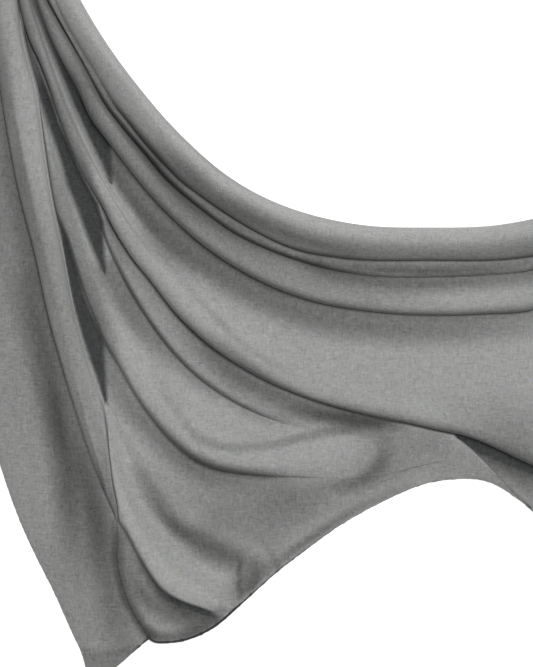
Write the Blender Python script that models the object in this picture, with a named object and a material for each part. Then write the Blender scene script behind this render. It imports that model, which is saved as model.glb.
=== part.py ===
"""A georgette hijab laid out in a gathered swag, as solids with flat undersides.

The cloth is one long rectangle. Two gathers bunch it, the stretch between them sags in a swag of folds,
and each end falls in a tail. Sizes are in millimetres, x to the right and y down over the surface that
the cloth lies on, z up. Sections run along rays from a hub above the swag, so the folds cross them.
"""

import math

import bmesh
import bpy
import numpy as np

MM = 0.001
HUB = (430.0, -130.0)           # every section is a ray from here; 0 degrees is left, 90 is down
SEAM = 0.2                      # half of the gap between two stretches
ROW_GAP = 0.3                   # least distance between two fold lines on a ray
FLOOR_OF_GAP = 2.5              # height of the cloth at the bottom of the deep gaps
EDGE_HEIGHT = 2.0               # height of the flat cloth at its hems
HEM_RADIUS = 1.1                # a narrow rolled hem
HEM_CLEAR = 0.5                 # air between a hem and the panel's edge
NECK_ANGLE = 7.0                # the gather's narrowest section
NECK_MIDDLE = 425.0             # how far the middle of the gather lies from the hub
TIP_ANGLE = -1.0                # where the gather's rounded end stops
SECTION_STEP = 2.0              # degrees between sections
CORNER_SECTIONS = (72.0, 74.0)  # more sections where the hem rounds the corner
CORNER_NOTCH = 0.35             # degrees left between the corner and the ends of its hems
CENTRE = (430.0, 272.95)        # the middle of the laid cloth, the part's origin
CLOTH_COLOUR = (0.31, 0.31, 0.305, 1.0)
HEM_COLOUR = (0.10, 0.10, 0.10, 1.0)

# Fold lines of the swag, from its top edge outward. Each row is a fold line: its kind, how far its
# points are repeated on the right of the hub, and its points (x, y, height).
SWAG = {
    "outline": ("foot", 430, (
        (45, -80, 2), (61, -40, 2), (80, 0, 2), (117, 60, 2), (148, 100, 2), (184, 140, 2),
        (233, 180, 2), (300, 213, 2), (360, 226.5, 2), (430, 229, 2))),
    "roll": ("crest", 430, (
        (37, -82, 34), (50, -40, 34), (66, 2, 34), (101, 62, 33), (131, 104, 32), (166, 146, 31),
        (215, 190, 30), (260, 219, 28), (300, 237, 27), (350, 248, 26), (430, 252, 25))),
    "roll_crease": ("crease", 430, (
        (30, -82, 31), (42, -40, 30), (60, 0, 29), (80, 40, 26), (94, 66, 22), (103, 88, 17), (125, 115, 13),
        (155, 153, 12), (185, 182, 12), (220, 212, 12), (260, 235, 13), (300, 251, 14), (340, 258, 15),
        (430, 260.5, 16))),
    "thin_pleat": ("crest", 430, (
        (28, -82, 30), (39, -40, 29), (54, 0, 27), (74, 40, 23), (90, 68, 21), (103, 91, 20), (120, 114, 19),
        (155, 157, 19), (185, 187, 19), (220, 216, 19), (260, 239, 19), (300, 255, 19), (340, 264, 19),
        (430, 270, 19))),
    "second_crease": ("crease", 430, (
        (25, -82, 24), (35, -40, 20), (48, 0, 16), (60, 18, 13), (75, 45, 10), (90, 72, 8), (100, 93, 7),
        (120, 119, 7), (140, 145, 7), (170, 181, 7), (200, 208, 8), (240, 236, 9), (280, 254, 11),
        (320, 267, 13), (360, 275, 15), (430, 280, 16))),
    "second_pleat": ("crest", 430, (
        (21, -82, 33), (30, -40, 32), (41, 0, 30), (57, 30, 28), (72, 57, 27), (87, 86, 26), (102, 112, 26),
        (132, 153, 26), (160, 191, 26), (200, 230, 25), (240, 257, 24), (280, 275, 23), (320, 289, 22),
        (360, 296, 21), (430, 300, 20))),
    "third_crease": ("crease", 430, (
        (18, -82, 14), (26, -40, 10), (38, 0, 6), (53, 40, 5), (75, 80, 4), (95, 122, 4), (110, 143, 5),
        (130, 167, 5), (150, 191, 5), (175, 217, 5), (200, 241, 5), (240, 270, 5), (280, 290, 6),
        (320, 303, 7), (360, 310, 8), (430, 315.5, 9))),
    "valley": ("soft", 430, (
        (16, -82, 14), (24, -40, 10), (34, 0, 6), (45, 36, 5), (65, 80, 4), (81, 120, 4), (94, 148, 6),
        (115, 190, 8), (135, 217, 8), (165, 247, 8), (200, 270, 8), (250, 300, 8), (300, 320, 9),
        (350, 332, 11), (430, 338, 13))),
    "panel_shoulder": ("soft", 430, (
        (14, -82, 24), (22, -40, 21), (32, 0, 18), (44, 40, 17), (61, 85, 16), (78, 127, 16), (91, 155, 17),
        (110, 192, 18), (128, 219, 18), (155, 250, 16), (188, 280, 15), (235, 312, 15), (285, 336, 16),
        (345, 352, 17), (430, 358, 18))),
    "panel": ("crest", 150, (
        (11, -82, 36), (19, -40, 34), (28, 0, 31), (43, 50, 29), (63, 110, 28), (83, 160, 28), (106, 200, 27),
        (130, 232, 27), (150, 258, 26), (170, 285, 25), (200, 320, 24), (240, 349, 22), (280, 368, 21),
        (320, 383, 20), (360, 396, 19), (400, 406, 19), (440, 416, 19), (490, 432, 19), (533, 449, 19))),
    "panel_edge": ("crease", 150, (
        (7, -82, 14), (13, -40, 8), (18.5, 0, 5), (29, 38, 4), (40, 62, 4), (50, 98, 4), (64, 140, 4),
        (80, 176, 4), (97, 195, 4), (106, 209, 4), (122, 237, 4), (150, 280, 4), (180, 318, 4), (220, 353, 4),
        (280, 387, 4), (320, 402, 4), (360, 413, 4), (400, 421.5, 4), (440, 432, 4), (480, 442, 4),
        (533, 465, 4))),
}

# The outer boundary of the swag: the front tail's edge, the corner beside the tail, then the long hem.
FRONT_EDGE = (
    (6, -82, 8), (12, -40, 6), (17.5, 0, 4), (26, 45, 4), (35, 80, 4), (41, 130, 4), (54, 213, 4),
    (66, 270, 4), (80, 335, 4), (93, 380, 4), (104, 413, 4), (112, 460, 4), (118, 505, 4), (118, 530, 4),
    (118, 565, 4), (125, 592, 4), (132, 610, 4), (142, 627, 4))
CORNER = (149, 638, EDGE_HEIGHT)
LONG_HEM = (
    (165, 641.5, 2), (180, 640, 2), (195, 636, 2), (221, 620, 2), (240, 602, 2), (268, 577, 2),
    (297, 554, 2), (340, 524, 2), (380, 502, 2), (420, 485, 2), (460, 478.5, 2), (490, 482, 2),
    (510, 493, 2), (533, 511, 2))
# The right edge of the front lobe, over the piece behind it.
LOBE_EDGE = ((455, 438, 5), (480, 459, 5), (500, 479, 5), (520, 498, 5), (533, 510.4, 2))
LOBE_FROM, LOBE_TO = 92.5, 99.0
LOWER_FROM = 19.0               # where the folds under the panel come out between it and the front tail
BACK_FROM = 92.8                # where the back piece comes out from under the panel

# Fold lines under the panel's edge: kind, share of the way out and height before the first point,
# points (x, y, height), share of the way out and height after the last point.
LOWER = {
    "upper_roll": ("crest", (0.30, 12), (
        (104, 236, 15), (125, 265, 16), (145, 298, 16), (165, 325, 16), (200, 366, 15), (240, 394, 14),
        (280, 413, 12), (330, 424, 10), (390, 428, 9)), (0.08, 8)),
    "upper_crease": ("crease", (0.45, 10), (
        (103, 245, 8), (120, 273, 6), (140, 303, 5), (160, 337, 5), (190, 370, 5), (220, 393, 5),
        (250, 409, 7), (290, 426, 9), (340, 434, 9), (390, 436, 9)), (0.16, 8)),
    "lower_shoulder": ("soft", (0.80, 8), (
        (47, 120, 10), (60, 160, 10), (73, 200, 10), (86, 240, 10), (94, 260, 10), (106, 278, 11),
        (122, 304, 11), (145, 345, 11), (175, 390, 12), (210, 418, 12), (250, 432, 12), (300, 440, 12),
        (350, 441, 11), (395, 446, 9)), (0.27, 8)),
    "lower_roll": ("crest", (0.88, 16), (
        (50, 155, 19), (62, 200, 20), (82, 262, 20), (100, 290, 20), (117, 340, 20), (140, 385, 20),
        (170, 420, 19), (200, 448, 19), (240, 459, 17), (280, 461, 15), (320, 458, 14), (365, 455, 12),
        (400, 458, 9)), (0.42, 8)),
    "lower_crease": ("crease", (0.94, 8), (
        (59, 222, 4), (67, 240, 4), (80, 280, 4), (96, 320, 4), (103, 338, 4), (120, 366, 4), (140, 398, 4),
        (160, 425, 4), (190, 456, 4), (230, 472, 4), (275, 476, 5), (310, 478, 6), (360, 478, 7),
        (400, 470, 8)), (0.55, 7.5)),
    "first_band": ("crest", (0.90, 6), (
        (108, 400, 6), (130, 440, 8), (165, 487, 9), (205, 516, 9), (255, 522, 8), (310, 508, 7),
        (360, 492, 6)), (0.66, 7)),
    "first_valley": ("soft", (0.92, 6), (
        (132, 462, 5), (150, 496, 4), (170, 520, 4), (200, 546, 4), (232, 560, 4), (262, 562, 4),
        (310, 532, 4)), (0.78, 6)),
    "second_band": ("crest", (0.94, 6), (
        (120, 460, 7), (130, 480, 9), (145, 505, 11), (160, 525, 11), (180, 550, 10), (205, 571, 8),
        (232, 588, 5)), (0.86, 5)),
    "second_valley": ("soft", (0.95, 6), (
        (116, 467, 6), (126, 497, 7), (138, 522, 8), (155, 549, 8), (175, 570, 7), (200, 586, 6),
        (226, 601, 4)), (0.90, 4.5)),
    "third_band": ("crest", (0.96, 6), (
        (113, 470, 8), (119, 500, 10), (130, 527, 12), (145, 556, 12), (160, 577, 12), (180, 592, 11),
        (205, 602, 8), (222, 611, 4)), (0.93, 3.5)),
    "corner_crease": ("crease", (0.98, 5), (
        (118, 527, 4), (135, 552, 3), (155, 585, 3), (175, 603, 3), (205, 613, 3)), (0.97, 3)),
    "corner": ("soft", (0.99, 4), (
        (119, 556, 4), (132, 590, 5), (152, 618, 5), (180, 624, 4), (210, 621, 2)), (0.985, 2)),
}

# Folds of the plain piece behind the lobe: kind, share of the way from the panel to the hem, height.
BACK = {
    "back_upper_fold": ("crest", 0.24, 14),
    "back_upper_crease": ("crease", 0.42, 6),
    "back_lower_fold": ("crest", 0.66, 12),
}

# Fold lines of a tail, from the front edge outward.
TAIL = {
    "front_fold": ("crest", (
        (-2, -82, 38), (3, -40, 36), (9, 0, 32), (24, 100, 27), (44, 200, 25), (60, 300, 22), (84, 390, 18),
        (104, 470, 12), (116, 522, 6))),
    "front_crease": ("crease", (
        (-9, -82, 26), (-5, -40, 22), (-2, 0, 20), (5, 90, 16), (15, 140, 12), (27, 200, 9), (38, 250, 6),
        (50, 320, 4), (66, 380, 4), (83, 435, 3), (103, 495, 3), (117, 528, 3), (118, 565, 3), (125, 592, 3),
        (142, 627, 3))),
    "back_fold": ("crest", (
        (-15, -82, 30), (-15, -40, 27), (-14, 0, 25), (-9, 100, 21), (4, 200, 17), (22, 300, 13),
        (46, 400, 9), (66, 480, 8), (86, 560, 7), (106, 612, 6), (122, 640, 5), (138, 638, 3))),
    "back_crease": ("soft", (
        (-21, -82, 22), (-24, -40, 19), (-25, 0, 17), (-21, 100, 13), (-12, 200, 9), (5, 300, 7),
        (34, 400, 6), (50, 480, 5), (67, 560, 5), (85, 620, 5), (104, 655, 4), (135, 645, 3))),
    "side_fold": ("crest", (
        (-26, -82, 18), (-33, -40, 16), (-37, 0, 15), (-39, 100, 12), (-34, 200, 10), (-19, 300, 9),
        (4, 400, 8), (29, 480, 7), (58, 560, 6), (80, 625, 5), (97, 668, 4), (132, 651, 3))),
}
SIDE = (
    (-30, -82, 2), (-41, -40, 2), (-45, 0, 2), (-50, 100, 2), (-48, 200, 2), (-37, 300, 2), (-18, 400, 2),
    (0, 463, 2), (20, 520, 2), (50, 583, 2), (80, 648, 2))
TAIL_CORNER = (96, 685, 2)
TAIL_END = ((115, 667, 2), (128, 656, 2), (138, 647, 2))

# Deep gaps between pleats: first and last fold line, where the gap ends along x, and how softly.
GAPS = (
    ("third_crease", "valley", 111.0, 7.0),
    ("panel_edge", "lower_shoulder", 103.0, 4.0),
    ("lower_crease", "outer", 104.5, 4.0),
)

# Rows of mesh between one fold line and the next.
ROWS = {"foot": 4, "crest": 3, "crease": 3, "soft": 2}


def polar(x, y):
    """Angle in degrees, from the left over the bottom to the right, and distance from the hub."""
    across, down = x - HUB[0], y - HUB[1]
    return math.degrees(math.atan2(down, -across)), math.hypot(across, down)


def smooth(knots, values):
    """A smooth curve through the values that doesn't overshoot them."""
    steps = np.diff(values) / np.diff(knots)
    steps = np.concatenate([[2 * steps[0] - steps[1]] * 2, steps, [2 * steps[-1] - steps[-2]] * 2])
    change = np.abs(np.diff(steps))
    before, after = change[:-2], change[2:]
    total = before + after
    safe = np.where(total > 1e-9, total, 1.0)
    blended = (after * steps[1:-2] + before * steps[2:-1]) / safe
    slopes = np.where(total > 1e-9, blended, 0.5 * (steps[1:-2] + steps[2:-1]))

    def curve(at):
        at = np.clip(at, knots[0], knots[-1])
        i = np.clip(np.searchsorted(knots, at, side="right") - 1, 0, len(knots) - 2)
        width = knots[i + 1] - knots[i]
        t = (at - knots[i]) / width
        return (values[i] * (1 + 2 * t) * (1 - t) ** 2 + slopes[i] * width * t * (1 - t) ** 2
                + values[i + 1] * t * t * (3 - 2 * t) - slopes[i + 1] * width * t * t * (1 - t))

    return curve


class Line:
    """A fold line or edge: its distance from the hub and its height, at any angle."""

    def __init__(self, points):
        rows = sorted((*polar(x, y), z) for x, y, z in points)
        knots, distances, heights = (np.array(column, float) for column in zip(*rows))
        self.distance = smooth(knots, distances)
        self.height = smooth(knots, heights)


def mirrored(points):
    """The same points on the other side of the hub."""
    return tuple((2 * HUB[0] - x, y, z) for x, y, z in points)


def between(inner, outer, share, angles, height):
    """Points that lie a share of the way from one line to another, at the given angles."""
    points = []
    for angle in angles:
        reach = inner.distance(angle) + share * (outer.distance(angle) - inner.distance(angle))
        turn = math.radians(angle)
        points.append((HUB[0] - reach * math.cos(turn), HUB[1] + reach * math.sin(turn), height))
    return points


class Joined:
    """One line up to an angle, and another from there on."""

    def __init__(self, first, second, angle):
        self.first, self.second, self.angle = first, second, angle

    def distance(self, at):
        return (self.first if at < self.angle else self.second).distance(at)

    def height(self, at):
        return (self.first if at < self.angle else self.second).height(at)


def swag_lines():
    """The swag's fold lines, from gather to gather."""
    return {
        name: Line(points + mirrored([row for row in points if row[0] < below]))
        for name, (kind, below, points) in SWAG.items()
    }


def lower_lines(panel_edge, outer):
    """The fold lines under the panel, spread out where the folds themselves have ended."""
    lines = {}
    for name, (kind, (first, first_z), points, (last, last_z)) in LOWER.items():
        start = polar(*points[0][:2])[0]
        end = polar(*points[-1][:2])[0]
        ahead = between(panel_edge, outer, first, np.arange(LOWER_FROM, start - 3, 5), first_z)
        behind = between(panel_edge, outer, last, np.arange(max(end + 5, 84), LOBE_TO + 0.5, 3), last_z)
        lines[name] = Line((*ahead, *points, *behind))
    return lines


def eased(kind, next_kind, t):
    """How far the height has gone from one fold line to the next, at share t of the way."""
    if kind == "crest" and next_kind in ("crease", "hem"):
        return 1 - np.sqrt(np.maximum(1 - t * t, 0))
    if kind == "foot":
        return np.sqrt(np.maximum(1 - (1 - t) ** 2, 0))
    if kind == "crease" and next_kind == "crest":
        return np.sin(t * math.pi / 2)
    return t * t * (3 - 2 * t)


def shares(kind, next_kind, rows):
    """Where the rows of mesh lie between two fold lines, closer together where the cloth turns over."""
    t = np.arange(rows) / rows
    if kind == "crest" and next_kind in ("crease", "hem"):
        return np.sin(t * math.pi / 2)
    if kind == "foot":
        return 1 - np.cos(t * math.pi / 2)
    return t


def section(lines, angle):
    """Distances and heights of the fold lines on one ray, rounded off over the gather's end."""
    at = min(max(angle, NECK_ANGLE), 180 - NECK_ANGLE)
    over = abs(angle - at) / (NECK_ANGLE - TIP_ANGLE)
    rounding = math.sqrt(max(1 - 0.96 * over * over, 0.02))
    distances = np.array([float(line.distance(at)) for _, _, line in lines])
    heights = np.array([float(line.height(at)) for _, _, line in lines])
    last = len(distances) - 1
    gap = min(ROW_GAP, (distances[last] - distances[0]) / (last + 1))
    for i in range(1, last):
        distances[i] = max(distances[i], distances[i - 1] + gap)
    for i in range(last - 1, 0, -1):
        distances[i] = min(distances[i], distances[i + 1] - gap)
    reach = NECK_MIDDLE + (distances - NECK_MIDDLE) * rounding
    return reach, EDGE_HEIGHT + (heights - EDGE_HEIGHT) * rounding


def every_angle():
    """The angles of all sections: even steps and the corners' own angles, the same on both sides."""
    named = (
        LOWER_FROM, TAIL_TIP, TAIL_CORNER_AT, TAIL_CORNER_AT + 0.5,
        CORNER_AT - CORNER_NOTCH, CORNER_AT, CORNER_AT + CORNER_NOTCH, *CORNER_SECTIONS,
        180 - LOBE_TO, 180 - LOBE_TO - 0.7, 180 - BACK_FROM)
    even = np.arange(TIP_ANGLE, 90.5, SECTION_STEP)
    half = [angle for angle in even if all(abs(angle - other) > 0.35 * SECTION_STEP for other in named)]
    half = sorted({round(float(angle), 4) for angle in (*half, *named, 90.0)})
    return [*half, *(180 - angle for angle in reversed(half[:-1]))]


CORNER_AT = polar(*CORNER[:2])[0]
TAIL_CORNER_AT = polar(*TAIL_CORNER[:2])[0]
TAIL_TIP = polar(*TAIL["front_fold"][1][-1][:2])[0]
SECTIONS = every_angle()
LONG_HEM_SPAN = (CORNER_AT, 180 - CORNER_AT)
SIDE_HEM_SPAN = (NECK_ANGLE, CORNER_AT)


def from_to(first, last):
    return [angle for angle in SECTIONS if first - 0.01 <= angle <= last + 0.01]


def slant(line, angle):
    """How much longer a ray's way through a strip is than the strip is wide, towards either next section."""
    at = SECTIONS.index(angle)
    here = float(line.distance(angle))
    factors = [1.0]
    for other in SECTIONS[max(at - 1, 0):at] + SECTIONS[at + 1:at + 2]:
        change = (float(line.distance(other)) - here) / math.radians(other - angle)
        factors.append(math.hypot(1, change / here))
    return max(factors)


def surface(lines, angle, hemmed):
    """One section of a stretch as points (x, y, z), from its inner line to its outer line."""
    distances, heights = section(lines, angle)
    distances[0] += SEAM * slant(lines[0][2], angle)
    inset = 2 * HEM_RADIUS + HEM_CLEAR if hemmed[0] <= angle <= hemmed[1] else 0.0
    distances[-1] -= (SEAM + inset) * slant(lines[-1][2], angle)
    names = [name for name, _, _ in lines]
    turn = math.radians(angle)
    rows = []
    for i in range(len(lines) - 1):
        kind, next_kind = lines[i][1], lines[i + 1][1]
        for t in shares(kind, next_kind, ROWS[kind]):
            reach = distances[i] + t * (distances[i + 1] - distances[i])
            height = heights[i] + eased(kind, next_kind, t) * (heights[i + 1] - heights[i])
            rows.append((i + t, reach, height))
    rows.append((len(lines) - 1, distances[-1], heights[-1]))
    points = []
    for place, reach, height in rows:
        x = HUB[0] - reach * math.cos(turn)
        y = HUB[1] + reach * math.sin(turn)
        for first, last, end, softness in GAPS:
            if first not in names or last not in names or angle > 90:
                continue
            if names.index(first) <= place <= names.index(last):
                lit = min(max((x - end) / softness + 0.5, 0), 1)
                floor = min(FLOOR_OF_GAP, height)
                height = floor + (height - floor) * lit * lit * (3 - 2 * lit)
        points.append((x, y, max(height, EDGE_HEIGHT)))
    return points


def placed(x, y, z):
    """Metres in the part's own frame, from millimetres over the surface."""
    return (x - CENTRE[0]) * MM, (CENTRE[1] - y) * MM, z * MM


def solid(name, lines, angles, collection, material, hemmed=(0, 0), right=False):
    """A stretch of cloth: its folded top, straight sides and a flat underside."""
    sections = [surface(lines, angle, hemmed) for angle in angles]
    if right:
        sections = [[(2 * HUB[0] - x, y, z) for x, y, z in points] for points in sections]
    columns, rows = len(sections), len(sections[0])
    shape = bmesh.new()
    bmesh.ops.create_grid(shape, x_segments=columns - 1, y_segments=rows - 1, size=1.0)
    top = {}
    for vert in shape.verts:
        i = round((vert.co.x + 1) / 2 * (columns - 1))
        j = round((vert.co.y + 1) / 2 * (rows - 1))
        vert.co = placed(*sections[i][j])
        top[i, j] = vert
    foot = {(i, j): shape.verts.new((*top[i, j].co.xy, 0.0)) for i in range(columns) for j in (0, rows - 1)}
    for i in range(columns - 1):
        shape.faces.new((foot[i, 0], foot[i + 1, 0], foot[i + 1, rows - 1], foot[i, rows - 1]))
        for j in (0, rows - 1):
            shape.faces.new((top[i, j], top[i + 1, j], foot[i + 1, j], foot[i, j]))
    for i in (0, columns - 1):
        shape.faces.new((foot[i, 0], *(top[i, j] for j in range(rows)), foot[i, rows - 1]))
    bmesh.ops.recalc_face_normals(shape, faces=shape.faces)
    if shape.calc_volume(signed=True) < 0:
        bmesh.ops.reverse_faces(shape, faces=shape.faces)
    return linked(name, shape, collection, material)


def linked(name, shape, collection, material):
    mesh = bpy.data.meshes.new(name)
    shape.to_mesh(mesh)
    shape.free()
    mesh.shade_smooth()
    mesh.materials.append(material)
    thing = bpy.data.objects.new(name, mesh)
    collection.objects.link(thing)
    return thing


def hem(name, line, angles, collection, material, right=False):
    """A narrow rolled hem along an edge, as a thin tube that lies on the surface."""
    path = []
    for angle in angles:
        reach = float(line.distance(angle)) - HEM_RADIUS * slant(line, angle)
        turn = math.radians(angle)
        x, y = HUB[0] - reach * math.cos(turn), HUB[1] + reach * math.sin(turn)
        path.append((2 * HUB[0] - x if right else x, y))
    curve = bpy.data.curves.new(name, "CURVE")
    curve.dimensions = "3D"
    curve.bevel_depth = HEM_RADIUS * MM
    curve.bevel_resolution = 1
    curve.use_fill_caps = True
    spline = curve.splines.new("POLY")
    spline.points.add(len(path) - 1)
    for point, (x, y) in zip(spline.points, path):
        point.co = (*placed(x, y, HEM_RADIUS), 1.0)
    curve.materials.append(material)
    thing = bpy.data.objects.new(name, curve)
    collection.objects.link(thing)
    return thing


def finish(name, colour, roughness):
    material = bpy.data.materials.new(name)
    material.use_nodes = True
    shader = material.node_tree.nodes["Principled BSDF"]
    shader.inputs["Base Color"].default_value = colour
    shader.inputs["Roughness"].default_value = roughness
    material.diffuse_color = colour
    return material


def main():
    for thing in list(bpy.data.objects):
        bpy.data.objects.remove(thing)
    collection = bpy.data.collections.new("georgette_hijab")
    bpy.context.scene.collection.children.link(collection)
    cloth = finish("georgette", CLOTH_COLOUR, 0.85)
    edging = finish("hem_thread", HEM_COLOUR, 0.9)

    swag = swag_lines()
    outer = Line(FRONT_EDGE + (CORNER,) + LONG_HEM)
    lobe = Line(LOBE_EDGE)
    lower = lower_lines(swag["panel_edge"], outer)
    outer_right = Line(LONG_HEM[-3:] + mirrored(FRONT_EDGE + (CORNER,) + LONG_HEM[:5]))
    long_hem = Joined(outer, outer_right, LOBE_TO)
    back_outer = Joined(lobe, outer_right, LOBE_TO)
    folds = [(name, kind, swag[name]) for name, (kind, _, _) in SWAG.items()]
    under = [(name, kind, lower[name]) for name, (kind, *_) in LOWER.items()]
    lower_inner = Joined(swag["panel_edge"], lobe, LOBE_FROM)
    solid("top_roll", folds[:5], SECTIONS, collection, cloth)
    solid("second_pleat", folds[4:7], SECTIONS, collection, cloth)
    solid("panel", folds[6:], SECTIONS, collection, cloth)
    solid("lower_swag", [("panel_edge", "crease", lower_inner), *under, ("outer", "hem", outer)],
          from_to(LOWER_FROM, LOBE_TO), collection, cloth, LONG_HEM_SPAN)
    behind = []
    for name, (kind, share, height) in BACK.items():
        points = between(swag["panel_edge"], back_outer, share, from_to(BACK_FROM, 180 - LOWER_FROM), height)
        behind.append((name, kind, Line(points)))
    solid("back_piece", [("panel_edge", "crease", swag["panel_edge"]), *behind, ("outer", "hem", back_outer)],
          from_to(BACK_FROM, 180 - LOWER_FROM), collection, cloth, LONG_HEM_SPAN)
    hem("long_hem", long_hem, from_to(CORNER_AT + CORNER_NOTCH, 180 - CORNER_AT - CORNER_NOTCH),
        collection, edging)

    tail = {name: Line(points) for name, (kind, points) in TAIL.items()}
    side = Line(SIDE + (TAIL_CORNER,) + TAIL_END + (CORNER,))
    folds = [(name, kind, tail[name]) for name, (kind, _) in TAIL.items()]
    inner = ("front_crease", "crease", Joined(tail["front_crease"], outer, TAIL_TIP + 0.6))
    for hand, right in (("left", False), ("right", True)):
        solid(f"front_tail_{hand}", [("front_edge", "foot", outer), *folds[:2]],
              from_to(TIP_ANGLE, TAIL_TIP), collection, cloth, right=right)
        solid(f"back_tail_{hand}", [inner, *folds[2:], ("side", "hem", side)],
              from_to(TIP_ANGLE, CORNER_AT - CORNER_NOTCH), collection, cloth, SIDE_HEM_SPAN, right)
        hem(f"side_hem_{hand}", side, from_to(NECK_ANGLE, TAIL_CORNER_AT), collection, edging, right)
        hem(f"end_hem_{hand}", side, from_to(TAIL_CORNER_AT + 0.5, CORNER_AT - CORNER_NOTCH),
            collection, edging, right)


main()
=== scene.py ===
"""The looks of a georgette hijab that lies in a gathered swag: draped cloth, rolled hems and a studio.

Sizes in the tables are millimetres over the surface that the cloth lies on: x to the right, y down and
the height above the surface. Angles are degrees. placed() turns the sizes into metres in the frame's axes.
"""

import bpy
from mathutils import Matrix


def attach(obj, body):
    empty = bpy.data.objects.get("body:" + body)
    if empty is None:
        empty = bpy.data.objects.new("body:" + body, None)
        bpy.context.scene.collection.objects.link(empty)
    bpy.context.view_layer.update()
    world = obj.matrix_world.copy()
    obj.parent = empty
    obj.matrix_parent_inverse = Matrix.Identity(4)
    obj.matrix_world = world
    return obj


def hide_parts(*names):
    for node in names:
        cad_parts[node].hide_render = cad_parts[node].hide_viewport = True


bl_info = {
    "name": "Georgette hijab",
    "version": (1, 0, 0),
    "blender": (4, 5, 0),
    "location": "View3D > Sidebar > Hijab",
    "description": "Drapes a georgette hijab in a gathered swag and lights it",
    "category": "Object",
}

import math

import bmesh
import bpy
import numpy as np
from bpy.props import FloatProperty, FloatVectorProperty, PointerProperty
from mathutils import Vector

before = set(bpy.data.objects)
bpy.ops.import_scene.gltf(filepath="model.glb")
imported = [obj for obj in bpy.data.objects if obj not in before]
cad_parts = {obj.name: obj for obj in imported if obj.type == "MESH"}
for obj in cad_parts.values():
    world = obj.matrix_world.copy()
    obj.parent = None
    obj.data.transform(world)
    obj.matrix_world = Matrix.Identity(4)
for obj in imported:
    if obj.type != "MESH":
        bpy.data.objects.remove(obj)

MM = 0.001
PHOTO_SIZE = (533, 667)         # what the camera sees, at 1 mm to the pixel
HUB = (430.0, -130.0)           # sections of the swag are rays from here; 0 degrees is left, 90 is down
CENTRE = (430.0, 272.95)        # the middle of the laid cloth

SECTION_STEP = 0.3              # between sections
STRAIGHT = 1e-9                 # a line whose slope changes by less than this has no bend
ROW_GAP = 0.3                   # least distance between two fold lines on a ray
EDGE_HEIGHT = 2.0               # height of the flat cloth at its hems
NECK_ANGLE = 7.0                # the gather's narrowest section
NECK_MIDDLE = 425.0             # how far the middle of the gather lies from the hub
TIP_ANGLE = -1.0                # where the gather's rounded end stops
TIP_ROUNDING = 0.96             # how nearly that end closes
FAINT_FOLD = 3.0                # folds lower than this fade into an even slope
CREASE_CROWDING = 1.6           # how much closer the rows of mesh lie at the bottom of a crease

LOWER_FROM = 19.0               # where the folds under the panel come out between it and the front tail
LEAD_IN, LEAD_IN_STEP = 3, 5    # the even slope before such a fold: how far off it ends, and its step
LEAD_OUT, LEAD_OUT_STEP = 5, 3  # the same for the slope after the fold
LEAD_OUT_FROM, LEAD_OUT_TO = 84.0, 99.5     # and between which angles that one lies
LOBE_FROM, LOBE_TO = 92.5, 99.0  # between these the lobe's right edge lies over the back piece
BACK_FROM = 92.8                # where the back piece comes out from under the panel
BACK_STEP = 2.0                 # between the points of its folds
TIP_JOINT = 0.6                 # how far past the front tail's tip the back tail meets the swag's edge
TAIL_STOP = 0.1                 # between the back tail and the corner
HEM_PAST_CORNER = 0.15          # how far the long hem goes round the corner

# Rows out of sight past an edge of a stretch: how far along the ray they lie, and how much higher.
UNDER_A_FOLD = ((-10, -6), (-5, -4), (-1.5, -2))
TURNED_UNDER = ((-0.4, -0.7), (-3, -0.5), (-8, 0.3))
OUTLINE_UNDER = ((14, -1.3), (5, -1.4), (1.2, -1.1))
UNDER_THE_TAIL = ((2, -0.6), (8, -1.4))
BESIDE_THE_NEXT = ((-4, -9), (-2.4, -3.5), (-1.3, -0.5), (-0.6, -0.08))
FLAT_END = ()
LIFT = 0.8                      # least height of these rows
FULL_WIDTH = 20.0               # on a stretch narrower than this its first ones lie closer to the edge
TIP_FADE, CORNER_FADE = 3.0, 2.0    # the rows under the tail draw in before its tip and before the corner
PAST_THE_TIP = 0.1              # how far out they still lie between the two

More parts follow.
